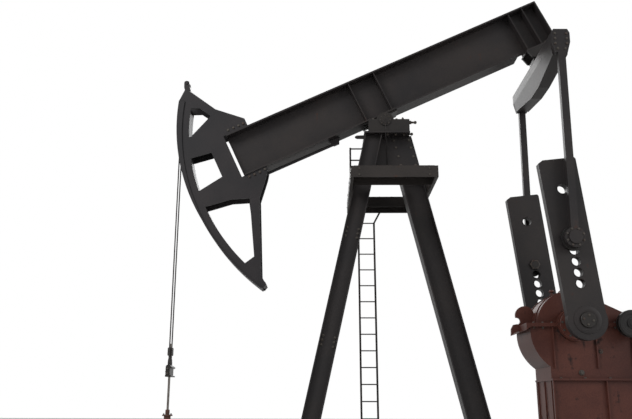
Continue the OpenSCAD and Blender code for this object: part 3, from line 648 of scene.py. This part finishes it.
case_front, case_rear = (corner.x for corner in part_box("gear_case"))
flange_xs = [x for x in spread(case_front + 0.26, case_rear - 0.04, 14)
             if abs(x - SHAFT.x) > 0.31 and abs(x - PINION.x) > 0.19]
nut_xs = [x for x in flange_xs if all(abs(x - SHAFT.x - rib) > 0.04 for rib in CASE_RIBS)]
fasteners("case_flange_bolts", bolt_head,
          grid(flange_xs, both(FLANGE_BOLT_Y), SHAFT.z + SPLIT_FLANGE_T, size=0.9), "root")
fasteners("case_flange_nuts", stud_nut,
          grid(nut_xs, both(FLANGE_BOLT_Y), SHAFT.z - SPLIT_FLANGE_T, (0, 0, -1), 0.9), "root")
fasteners("case_foot_bolts", bolt_head,
          grid((6.28, 6.66, 7.05, 7.6), both(0.482), CASE_FOOT, size=0.95), "root")
shaft_cap = model_of("shaft cap", spun(
    "cap", [(0.1175, 0.0), (0.242, 0.0), (0.242, 0.014), (0.234, 0.020), (0.150, 0.020), (0.142, 0.034),
            (0.1175, 0.034)], 56))
done(copies("crankshaft_caps", shaft_cap, on_sides([spot_of(SHAFT)], BOSS_FACE + HAIR)), "root", "case_paint")
fasteners("crankshaft_cap_bolts", bolt_head, rings(spot_of(SHAFT), 0.5705, 0.205, 10, 0.31, 0.8), "root")
pinion_cap = model_of("pinion cap", spun(
    "cap", [(0.0465, 0.0), (0.128, 0.0), (0.128, 0.007), (0.122, 0.010), (0.0465, 0.010)], 40))
done(copies("pinion_caps", pinion_cap, on_sides([spot_of(PINION)], BOSS_FACE + HAIR)), "root", "case_paint")
fasteners("pinion_cap_bolts", bolt_head, rings(spot_of(PINION), 0.5605, 0.1, 6, 0.52, 0.42), "root")

rib_outline = arc(spot_of(SHAFT), 0.566, 66, 176, 30) + arc(spot_of(SHAFT), 0.5505, 176, 66, 30)
ribs = [cut_plate("cover rib", rib_outline, y - 0.011, y + 0.011, 0.003) for y in both(0.24)]
done(joined("cover_ribs", ribs), "root", "case_paint")

SLOPE = Matrix.Translation(SHAFT + Vector((0.584, 0, 0.3315))) @ Matrix.Rotation(math.radians(25.58), 4, "Y")
HATCH_TOP = 0.013
hatch = [stock("hatch", (-0.24, -0.28, HAIR), (0.24, 0.28, HATCH_TOP), 0.003, SLOPE),
         stock("hatch panel", (-0.17, -0.21, 0.0125), (0.17, 0.21, 0.019), 0.003, SLOPE)]
done(joined("inspection_hatch", hatch), "root", "case_paint")
fasteners("hatch_bolts", bolt_head,
          grid(both(0.21), spread(-0.25, 0.25, 5), HATCH_TOP, size=0.55, place=SLOPE)
          + grid(both(0.07), both(0.25), HATCH_TOP, size=0.55, place=SLOPE), "root")
grip_route = ((-0.06, 0.016), (-0.06, 0.05), (0.06, 0.05), (0.06, 0.016))
hatch_grips = [piped("grip", [tuple(SLOPE @ Vector((x, y, z))) for x, z in grip_route], 0.008)
               for y in both(0.13)]
breather = turned("breather", [(0.030, 0.0), (0.030, 0.03), (0.018, 0.034), (0.018, 0.062), (0.044, 0.066),
                               (0.046, 0.070), (0.046, 0.088), (0.030, 0.104)], 28,
                  Matrix.Translation(SHAFT + Vector((-0.2, -0.1, 0.508))))
ring_angles = [k * math.pi / 5 for k in range(10)]
eye_ring = model_of("eye", spun(
    "ring", [(0.036 + 0.010 * math.cos(a), 0.010 * math.sin(a)) for a in ring_angles], 24,
    Matrix.Rotation(-math.pi / 2, 4, "X")))
eye_places = [Matrix.Translation(SHAFT + Vector((0.02, y, 0.593))) for y in both(0.12)]
lifting_eyes = copies("eyes", eye_ring, eye_places)
done(joined("case_fittings", hatch_grips + [breather, lifting_eyes]), "root", "case_paint")
plug = model_of(
    "plug",
    turned("boss", [(0.044, 0.0), (0.044, 0.010), (0.041, 0.013)], 24),
    turned("plug head", [(0.026, 0.012), (0.028, 0.016), (0.028, 0.032), (0.024, 0.036)], 6, angle=20))
fasteners("oil_plugs", plug, on_sides([(6.62, 2.12)], CASE_Y) + on_sides([(6.95, 2.45)], CASE_Y, 0.8), "root")

# Brake

BRAKE = facing((PINION.x, -0.5795, PINION.z), (0, -1, 0))
drum_parts = []
for low in (0.001, 0.096):
    lip = [(0.2045, low), (0.214, low + 0.002), (0.214, low + 0.012), (0.2045, low + 0.014)]
    drum_parts.append(spun("drum lip", lip, 56, BRAKE))
drum_parts += [spun("hub", [(0.0455, 0.110), (0.080, 0.110), (0.078, 0.126), (0.0455, 0.130)], 36, BRAKE),
               spun("face ring", [(0.140, 0.110), (0.196, 0.110), (0.192, 0.118), (0.146, 0.118)], 56, BRAKE)]
done(joined("brake_drum_rims", drum_parts), "root", "cast_parts")
ROD_X, ROD_Y = 7.64, -0.635
LUG_TOP, BRACKET_TOP = 2.893, 2.048
band = [spun("band", [(0.2055, 0.028), (0.2125, 0.028), (0.2125, 0.082), (0.2055, 0.082)], 56, BRAKE),
        stock("band lug", (7.608, -0.66, 2.865), (7.665, -0.609, LUG_TOP), 0.003),
        stock("band lug", (7.608, -0.66, 2.815), (7.665, -0.609, 2.843), 0.003),
        turned("pull rod", [(0.010, 0.0), (0.011, 0.002), (0.011, 0.86), (0.009, 0.865)], 14,
               Matrix.Translation((ROD_X, ROD_Y, 2.05))),
        stock("rod bracket", (7.59, -0.665, CASE_FOOT + HAIR), (7.69, -0.455, BRACKET_TOP), 0.003)]
done(joined("brake_band", band), "root", "cast_parts")
fasteners("brake_bolts", stud_nut,
          [facing((ROD_X, ROD_Y, z), (0, 0, 1), 0.6) for z in (LUG_TOP, BRACKET_TOP)], "root")

# Belt guard

guard_line = arc(spot_of(PINION), 0.45, 39.2, 231.8, 30) + arc(spot_of(MOTOR_AXIS), 0.18, -128.2, 39.2, 16)
guard_parts = [rim("guard rim", guard_line, 0.028, y, y + 0.012) for y in (0.568, GUARD_FACE)]
done(joined("belt_guard_rims", guard_parts), "root", "guard_paint")
cover_disc = model_of("cover disc", turned(
    "disc", [(0.150, 0.0), (0.153, 0.003), (0.153, 0.006), (0.140, 0.012), (0.05, 0.016)], 40))
disc_places = (on_side(1, [spot_of(PINION)], GUARD_FACE + HAIR)
               + on_side(1, [spot_of(MOTOR_AXIS)], GUARD_FACE + HAIR, 0.75))
done(copies("belt_guard_covers", cover_disc, disc_places), "root", "guard_paint")

guard_run = MOTOR_AXIS - PINION
guard_way = guard_run.normalized()
guard_across = Vector((guard_way.z, 0, -guard_way.x))
straps = []
for share, half in ((0.3, 0.335), (0.52, 0.285), (0.74, 0.235)):
    corners = [PINION + share * guard_run + t * half * guard_across + u * 0.022 * guard_way
               for t, u in ((-1, -1), (-1, 1), (1, 1), (1, -1))]
    straps.append(cut_plate("strap", [spot_of(corner) for corner in corners], GUARD_FACE + HAIR, 0.779))
done(joined("belt_guard_straps", straps), "root", "guard_paint")
fasteners("belt_guard_bolts", bolt_head,
          round_of((PINION.x, 0.778, PINION.z), (0, 1, 0), 0.132, 6, 0.3, 0.45)
          + round_of((MOTOR_AXIS.x, 0.776, MOTOR_AXIS.z), (0, 1, 0), 0.1, 6, 0.3, 0.4)
          + on_side(1, arc(spot_of(PINION), 0.415, 60, 228, 6), GUARD_FACE + HAIR, 0.45), "root")

# Motor

AT_MOTOR = Matrix.Translation(MOTOR_AXIS)
FAN_END = facing((MOTOR_AXIS.x, -0.40, MOTOR_AXIS.z), (0, -1, 0))
DRIVE_END = facing((MOTOR_AXIS.x, 0.40, MOTOR_AXIS.z), (0, 1, 0))
fin = model_of("fin", stock("fin", (0.256, -0.29, -0.003), (0.281, 0.29, 0.003), 0.0012))
fin_angles = (*range(-12, 64, 6), *range(117, 193, 6))
fin_places = [AT_MOTOR @ Matrix.Rotation(-math.radians(a), 4, "Y") for a in fin_angles]
done(copies("motor_fins", fin, fin_places), "root", "motor_paint")
motor_ends = [
    turned("cowl", [(0.262, 0.0), (0.268, 0.003), (0.268, 0.10), (0.262, 0.112), (0.246, 0.119),
                    (0.12, 0.122), (0.112, 0.118), (0.02, 0.118)], 48, FAN_END),
    turned("drive end bell", [(0.262, 0.0), (0.268, 0.003), (0.268, 0.024), (0.240, 0.050), (0.110, 0.062),
                              (0.100, 0.074), (0.042, 0.074)], 48, DRIVE_END)]
for inside, low, high in ((0.222, 0.1195, 0.125), (0.182, 0.1205, 0.126), (0.142, 0.1205, 0.127)):
    grille = [(inside, low), (inside + 0.010, low), (inside + 0.008, high), (inside + 0.002, high)]
    motor_ends.append(spun("grille ring", grille, 48, FAN_END))
done(joined("motor_ends", motor_ends), "root", "motor_paint")
LID_TOP, RAIL_TOP = 1.534, 0.884
motor_fittings = [
    stock("box lid", (9.032, -0.158, 1.5205), (9.268, 0.118, LID_TOP), 0.003),
    turned("blank gland", [(0.030, 0.0), (0.032, 0.003), (0.032, 0.022), (0.022, 0.028), (0.022, 0.044),
                           (0.018, 0.048)], 6, facing((9.26, -0.02, 1.45), (1, 0, 0)), 20),
    copies("eye", eye_ring, [AT_MOTOR @ Matrix.Translation((0, 0.24, 0.302))])]
motor_fittings += [
    stock("slide rail", (8.83, y - 0.045, STAND_TOP + HAIR), (9.47, y + 0.045, RAIL_TOP), 0.003)
    for y in both(0.26)]
done(joined("motor_fittings", motor_fittings), "root", "motor_paint")
fasteners("motor_bolts", bolt_head,
          grid((8.87, 9.43), both(0.26), RAIL_TOP, size=0.8)
          + grid((9.05, 9.25), (-0.14, 0.1), LID_TOP, size=0.4)
          + round_of((MOTOR_AXIS.x, 0.45, MOTOR_AXIS.z), (0, 1, 0), 0.22, 6, 0.26, 0.6), "root")

# Well head

fasteners("casing_flange_nuts", stud_nut, about_well(0.205, 12, 0.06), "root")
fasteners("tee_flange_nuts", stud_nut,
          about_well(0.18, 8, 0.58, 0.4, 1, 0.9) + about_well(0.18, 8, 0.46, 0.4, -1, 0.9), "root")
bull_plug = model_of("bull plug", turned(
    "plug", [(0.058, -0.03), (0.068, -0.026), (0.068, 0.022), (0.060, 0.028), (0.030, 0.028), (0.030, 0.052),
             (0.026, 0.056)], 8, angle=20))
done(copies("casing_plugs", bull_plug, on_sides([(0, 0.27)], 0.23)), "root", "well_paint")
gland = [
    spun("gland flange", [(0.0355, 0.0), (0.082, 0.0), (0.084, 0.003), (0.084, 0.018), (0.080, 0.022),
                          (0.0355, 0.022)], 40, Matrix.Translation((0, 0, 1.44 + HAIR))),
    spun("outlet collar", [(0.0555, 0.0), (0.068, 0.002), (0.068, 0.028), (0.0555, 0.030)], 32,
         facing((0.15, 0, 0.86), (1, 0, 0))),
    spun("body ring", [(0.0755, 0.0), (0.088, 0.004), (0.088, 0.026), (0.0755, 0.030)], 40,
         Matrix.Translation((0, 0, 1.16))),
    turned("grease cup", [(0.010, 0.0), (0.010, 0.03), (0.018, 0.032), (0.020, 0.04), (0.014, 0.052)], 16,
           facing((0, -0.073, 1.22), (0, -1, 0)))]
gland += [stock("wing", (x - 0.0275, -0.02, 1.27), (x + 0.0275, 0.02, 1.30), 0.006) for x in both(0.0975)]
done(joined("stuffing_box_fittings", gland), "root", "well_paint")
fasteners("gland_nuts", stud_nut, about_well(0.061, 4, 1.4625, 0.5, 1, 0.6), "root")

# Beam

fasteners("saddle_clamp_bolts", bolt_head,
          grid(both(0.19, 0.30), both(0.13), BEAM_FLANGE, place=ON_BEAM), "beam")
fasteners("tail_bracket_bolts", bolt_head,
          grid((TAIL_ARM + 0.22, TAIL_ARM + 0.33), both(0.155), BEAM_FLANGE, place=ON_BEAM), "beam")
fasteners("end_plate_bolts", bolt_head,
          on_end(BEAM_END, 1, both(0.13), (0.26, 0.45, 0.72, 0.91), place=ON_BEAM), "beam")
LAP_SPOTS = [(-2.55, 1.07), (-2.45, 1.07), (-2.35, 1.07), (-2.26, 1.07),
             (-2.55, 0.12), (-2.45, 0.12), (-2.35, 0.12), (-2.25, 0.13)]
fasteners("head_lap_bolts", bolt_head, on_sides(LAP_SPOTS, HEAD_PLATE_FACE, place=ON_BEAM), "beam")
fasteners("head_bracket_bolts", bolt_head,
          grid((-2.55, -2.42, -2.29), both(0.11), BEAM_TOP, place=ON_BEAM), "beam")
pin_cap = model_of("pin cap", turned(
    "cap", [(0.046, 0.0), (0.048, 0.002), (0.048, 0.010), (0.044, 0.013), (0.012, 0.013)], 32))
cap_places = on_sides([(TAIL_ARM, 0)], TAIL_PIN_FACE, place=ON_BEAM)
done(copies("tail_pin_caps", pin_cap, cap_places), "beam", "cast_parts")
fasteners("tail_pin_bolts", bolt_head, rings((TAIL_ARM, 0), 0.209, 0.026, 3, 0.4, 0.5, ON_BEAM), "beam")

CROSS_WEBS = ([(-3.40, 1.052), (-3.40, 1.068), (-2.92, 1.028), (-2.92, 1.012)],
              [(-3.44, 0.092), (-3.44, 0.108), (-2.74, 0.048), (-2.74, 0.032)],
              [(-2.735, -0.30), (-3.02, -1.30), (-3.006, -1.304), (-2.72, -0.304)])
webs = [cut_plate("cross web", outline, -0.1495, 0.1495, 0.002, ON_BEAM) for outline in CROSS_WEBS]
done(joined("head_cross_webs", webs), "beam", "structure_paint", HEAD)
CHEEK_OUTLINE = [(-2.968, 2.07), (-2.950, 2.200), (-2.912, 2.290), (-2.893, 2.308), (-2.868, 2.308),
                 (-2.838, 2.292), (-2.824, 2.270), (-2.832, 2.235), (-2.882, 2.06)]
lifting_lug = [cut_plate("cheek", CHEEK_OUTLINE, *sorted((side * 0.0605, side * 0.0785)), 0.003, ON_BEAM)
               for side in SIDES]
lifting_lug.append(turned("lug bolt", [(0.021, -0.094), (0.023, -0.092), (0.023, 0.092), (0.021, 0.094)], 24,
                          on(ON_BEAM, (-2.872, 0, 2.258), (0, 1, 0))))
done(joined("head_lifting_lug", lifting_lug), "beam", "structure_paint", HEAD)

# Ropes


def laid_rope(name, length, radius=0.0115, lay=0.19):
    """A straight rope of six strands, twisted about its own axis by the screw of a lobed ring."""
    put_down()
    bpy.ops.mesh.primitive_circle_add(vertices=24, radius=radius, location=(0, 0, 0))
    piece = bpy.context.object
    piece.name = name
    for vertex in piece.data.vertices:
        strand = math.atan2(vertex.co.y, vertex.co.x) * 6
        vertex.co *= 1 - 0.10 * (1 - math.cos(strand)) / 2 - 0.06 * (1 - abs(math.cos(strand / 2)))
    pick_up(piece)
    twist = piece.modifiers.new("lay", "SCREW")
    twist.angle = 2 * math.pi * length / lay
    twist.screw_offset = length
    twist.steps = twist.render_steps = max(8, int(length / 0.012))
    twist.use_smooth_shade = True
    twist.use_merge_vertices = False
    bpy.ops.object.modifier_apply(modifier=twist.name)
    edit(piece)
    face_outwards()
    put_down()
    return piece


def wound(piece, y):
    """Bends an upright rope round the head's face, upwards from the level of the pivot."""
    for vertex in piece.data.vertices:
        reach, climb = PIVOT.x - vertex.co.x, vertex.co.z / PIVOT.x
        vertex.co = (PIVOT.x - reach * math.cos(climb), y + vertex.co.y, PIVOT.z + reach * math.sin(climb))
    return piece


rope_level = PIVOT.z - 0.005
carrier_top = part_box("carrier_bar")[1].z
sweep = math.radians(30.2) - BEAM_TILT
for side, word in ((-1, "near"), (1, "far")):
    y = side * ROPE_Y
    hanging = laid_rope("hanging_rope_" + word, rope_level - carrier_top - 0.002)
    dress(settle(hanging, Matrix.Translation((0, y, carrier_top + 0.001))), "wire_rope")
    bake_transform(hanging)
    wrapped = dress(wound(laid_rope("wrapped_rope_" + word, PIVOT.x * sweep), y), "wire_rope")
    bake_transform(wrapped)
    if side < 0:
        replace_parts(hanging, "bridle_lines")
        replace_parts(wrapped, "bridle_wrap")

rod_low, rod_high = (corner.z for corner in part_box("polished_rod"))
rod = turned("polished_rod_bar", [(0.017, rod_low), (0.019, rod_low + 0.003), (0.019, 1.2), (0.019, 2.2),
                                  (0.019, rod_high - 0.006), (0.015, rod_high)], 32)
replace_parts(dress(rod, "bright_steel"), "polished_rod")
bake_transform(rod)

# Sockets and sleeves at the ends of the ropes
socket = model_of("socket", turned(
    "socket", [(0.018, 0.0), (0.0195, 0.003), (0.0195, 0.04), (0.016, 0.09), (0.013, 0.1)], 24))
done(copies("rope_sockets", socket, grid((0,), both(ROPE_Y), carrier_top)), "hanger", "cast_parts")
sleeve = model_of("sleeve", turned(
    "sleeve", [(0.017, 0.0), (0.021, 0.004), (0.021, 0.075), (0.017, 0.08)], 20))
steep = math.radians(28.6)
sleeve_places = grid((-PIVOT.x * math.cos(steep),), both(ROPE_Y), PIVOT.x * math.sin(steep),
                     (math.sin(steep), 0, math.cos(steep)), place=ON_BEAM)
done(copies("rope_sleeves", sleeve, sleeve_places), "beam", "cast_parts")

# Carrier bar, rolled to a channel section, and the clamp on the rod
CHANNEL = [(-0.043, 2.0605), (0.064, 2.0605), (0.064, 2.078), (0.034, 2.088),
           (0.034, 2.192), (0.064, 2.202), (0.064, 2.218), (0.022, 2.2495),
           (-0.022, 2.2495), (-0.037, 2.226), (-0.037, 2.088), (-0.043, 2.078)]
carrier = smooth(cut_plate("carrier_channel", CHANNEL, -0.15, 0.15, 0.003), 20)
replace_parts(done(carrier, "hanger", "cast_parts"), "carrier_bar")
clamp = joined("rod_clamp_block", [
    stock("near half", (-0.040, -0.06, 2.402), (0.040, -0.003, 2.538), 0.014),
    stock("far half", (-0.040, 0.003, 2.402), (0.040, 0.06, 2.538), 0.014),
    turned("spacer", [(0.0255, 2.2505), (0.0275, 2.253), (0.0275, 2.2595), (0.0245, 2.262), (0.0245, 2.398),
                      (0.0235, 2.404)], 32)])
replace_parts(done(smooth(clamp, 30), "hanger", "cast_parts"), "rod_clamp")
fasteners("carrier_bolts", bolt_head,
          on_sides([(-0.002, 2.115), (-0.002, 2.19)], 0.15, 0.8)
          + on_end(-0.037, -1, both(0.115), (2.14,), 0.5), "hanger")
clamp_spots = [(x, z) for x in both(0.025) for z in (2.43, 2.51)]
fasteners("rod_clamp_bolts", bolt_head, on_side(-1, clamp_spots, 0.06, 0.5), "hanger")
fasteners("rod_clamp_nuts", stud_nut, on_side(1, clamp_spots, 0.06, 0.5), "hanger")

# Yoke and pitmans

head_spots = [(x, z) for x in both(0.095) for z in (-0.18, -0.27, -0.36)] + [(x, -0.45) for x in both(0.06)]
fasteners("pitman_head_bolts", bolt_head, on_sides(head_spots, PITMAN_FACE, 0.95, ON_YOKE), "yoke")
fasteners("pitman_foot_bolts", bolt_head,
          rings((0, -PITMAN_L), PITMAN_FACE, 0.133, 8, 0.39, 0.8, ON_YOKE), "yoke")
PAD_TOP = -0.078
pads = [stock("pad", (-0.105, y - 0.045, -0.0955), (0.105, y + 0.045, PAD_TOP), 0.003, ON_YOKE)
        for y in both(0.25)]
done(joined("tail_bearing_pads", pads), "yoke", "cast_parts")
fasteners("tail_bearing_bolts", bolt_head,
          grid(both(0.065), both(0.25), PAD_TOP, size=0.9, place=ON_YOKE), "yoke")

# Cranks


def inside_cranks(spots, size=1.0):
    """Places on the inner faces of both cranks, measured from the shaft."""
    return [on(ON_CRANK, (x, side * CRANK_INSIDE, z), (0, -side, 0), size)
            for side in SIDES for x, z in spots]


def on_crank_faces(spots, size=1.0):
    """Places on the outer and inner faces of both cranks, measured from the shaft."""
    return on_sides(spots, CRANK_OUTSIDE, size, ON_CRANK) + inside_cranks(spots, size)


hole_edge = model_of("hole edge", spun(
    "edge", [(0.0705, 0.0), (0.0835, 0.0), (0.0825, 0.005), (0.0715, 0.005)], 36))
free_holes = [(0, CRANK_R - k * HOLE_PITCH) for k in range(1, 5)]
edge_places = on_crank_faces(free_holes) + on_crank_faces([(0, TIP_HOLE_R)], 1.115)
done(copies("crank_hole_edges", hole_edge, edge_places), "crank", "structure_paint")
hub_ring = model_of("hub ring", spun(
    "ring", [(0.1175, 0.0), (0.212, 0.0), (0.210, 0.008), (0.200, 0.013), (0.126, 0.013),
             (0.1175, 0.010)], 48))
done(copies("crank_hub_rings", hub_ring, on_crank_faces([(0, 0)])), "crank", "structure_paint")
shaft_end = model_of("shaft end", turned(
    "disc", [(0.1145, 0.0), (0.1155, 0.001), (0.1155, 0.008), (0.110, 0.012), (0.02, 0.012)], 40))
end_places = on_sides([(0, 0)], SHAFT_END, place=ON_CRANK)
done(copies("crankshaft_end_plates", shaft_end, end_places), "crank", "cast_parts")
fasteners("crankshaft_end_bolts", bolt_head, rings((0, 0), 1.202, 0.072, 4, 0.5, 0.8, ON_CRANK), "crank")
wrist_nut = model_of("wrist nut", turned(
    "nut", [(0.088, 0.0), (0.094, 0.004), (0.094, 0.036), (0.086, 0.042)], 6, angle=20))
fasteners("wrist_nuts", wrist_nut, inside_cranks([(0, CRANK_R)]), "crank")

for model in MODELS:
    bpy.data.objects.remove(model)

# CAD nodes in their finishes; the head has its own and the pedestal wears the gear case's
for subpart in frame["record"]["subparts"]:
    node = frame["nodes"][subpart["node"]]
    material = DRESS[subpart["material_slot"]]
    if node.name.startswith("head_"):
        material = HEAD
    if node.name == "gear_case_pedestal":
        material = DRESS["case_paint"]
    node.data.materials.clear()
    node.data.materials.append(material)


# Camera, lamps, sky and floor

# The photograph's width and the distance of its focus, in pixels, and the sensor's width in millimetres
PHOTO_WIDTH = 632
FOCUS = 748.7
SENSOR = 36.0


def camera(spot, yaw, pitch, roll):
    """A camera that looks along +Y, turned by yaw to the right, pitch up and roll, in degrees."""
    yaw, pitch, roll = (math.radians(a) for a in (yaw, pitch, roll))
    ahead = Vector((math.sin(yaw) * math.cos(pitch), math.cos(yaw) * math.cos(pitch), math.sin(pitch)))
    right = ahead.cross(Vector((0, 0, 1))).normalized()
    up = right.cross(ahead)
    turned_right = math.cos(roll) * right + math.sin(roll) * up
    turned_up = math.cos(roll) * up - math.sin(roll) * right
    data = bpy.data.cameras.new("photograph")
    data.lens, data.sensor_width, data.sensor_fit = FOCUS / PHOTO_WIDTH * SENSOR, SENSOR, "HORIZONTAL"
    data.clip_start, data.clip_end = 0.1, 500
    made = bpy.data.objects.new("photograph", data)
    bpy.context.collection.objects.link(made)
    aim = Matrix((turned_right, turned_up, -ahead)).transposed().to_4x4()
    made.matrix_world = Matrix.Translation(spot) @ aim
    return made


def lamp(name, spot, target, size, power):
    data = bpy.data.lights.new(name, "AREA")
    data.shape, data.size, data.energy = "DISK", size, power
    made = bpy.data.objects.new(name, data)
    bpy.context.collection.objects.link(made)
    spot = Vector(spot)
    aim = (spot - Vector(target)).to_track_quat("Z", "Y").to_matrix().to_4x4()
    made.matrix_world = Matrix.Translation(spot) @ aim


def white_sky(lit, seen):
    """A white sky that lights the scene at one strength and is seen and mirrored at another."""
    world = bpy.data.worlds.new("studio")
    world.use_nodes = True
    tree = world.node_tree
    rays = tree.nodes.new("ShaderNodeLightPath")
    share = rays.outputs["Is Camera Ray"]
    for kind in ("Is Glossy Ray", "Is Transmission Ray"):
        either = tree.nodes.new("ShaderNodeMath")
        either.operation = "MAXIMUM"
        tree.links.new(share, either.inputs[0])
        tree.links.new(rays.outputs[kind], either.inputs[1])
        share = either.outputs[0]
    strength = tree.nodes.new("ShaderNodeMapRange")
    strength.inputs["To Min"].default_value = lit
    strength.inputs["To Max"].default_value = seen
    tree.links.new(share, strength.inputs["Value"])
    backdrop = tree.nodes["Background"]
    backdrop.inputs["Color"].default_value = (1, 1, 1, 1)
    tree.links.new(strength.outputs[0], backdrop.inputs["Strength"])
    return world


def pale_floor():
    put_down()
    bpy.ops.mesh.primitive_plane_add(size=140, location=(4, 20, -0.002))
    floor = bpy.context.object
    floor.name = "floor"
    settle(floor)
    pale = Finish("pale floor", Base_Color=(0.86, 0.86, 0.85, 1), Roughness=0.9)
    floor.data.materials.append(pale.material)


bpy.context.scene.camera = camera((2.62, -12.6, 1.6), -0.94, 14.72, 0.13)
lamp("key light", (-12, -14, 16), (4.5, 0, 3.5), 9, 3900)
lamp("fill light", (20, -12, 9), (5.5, 0, 3.5), 10, 1500)
lamp("back light", (2, 18, 15), (4.5, 0, 4), 10, 1400)
bpy.context.scene.world = white_sky(0.5, 1.0)
pale_floor()
bpy.context.scene.view_settings.view_transform = "Standard"
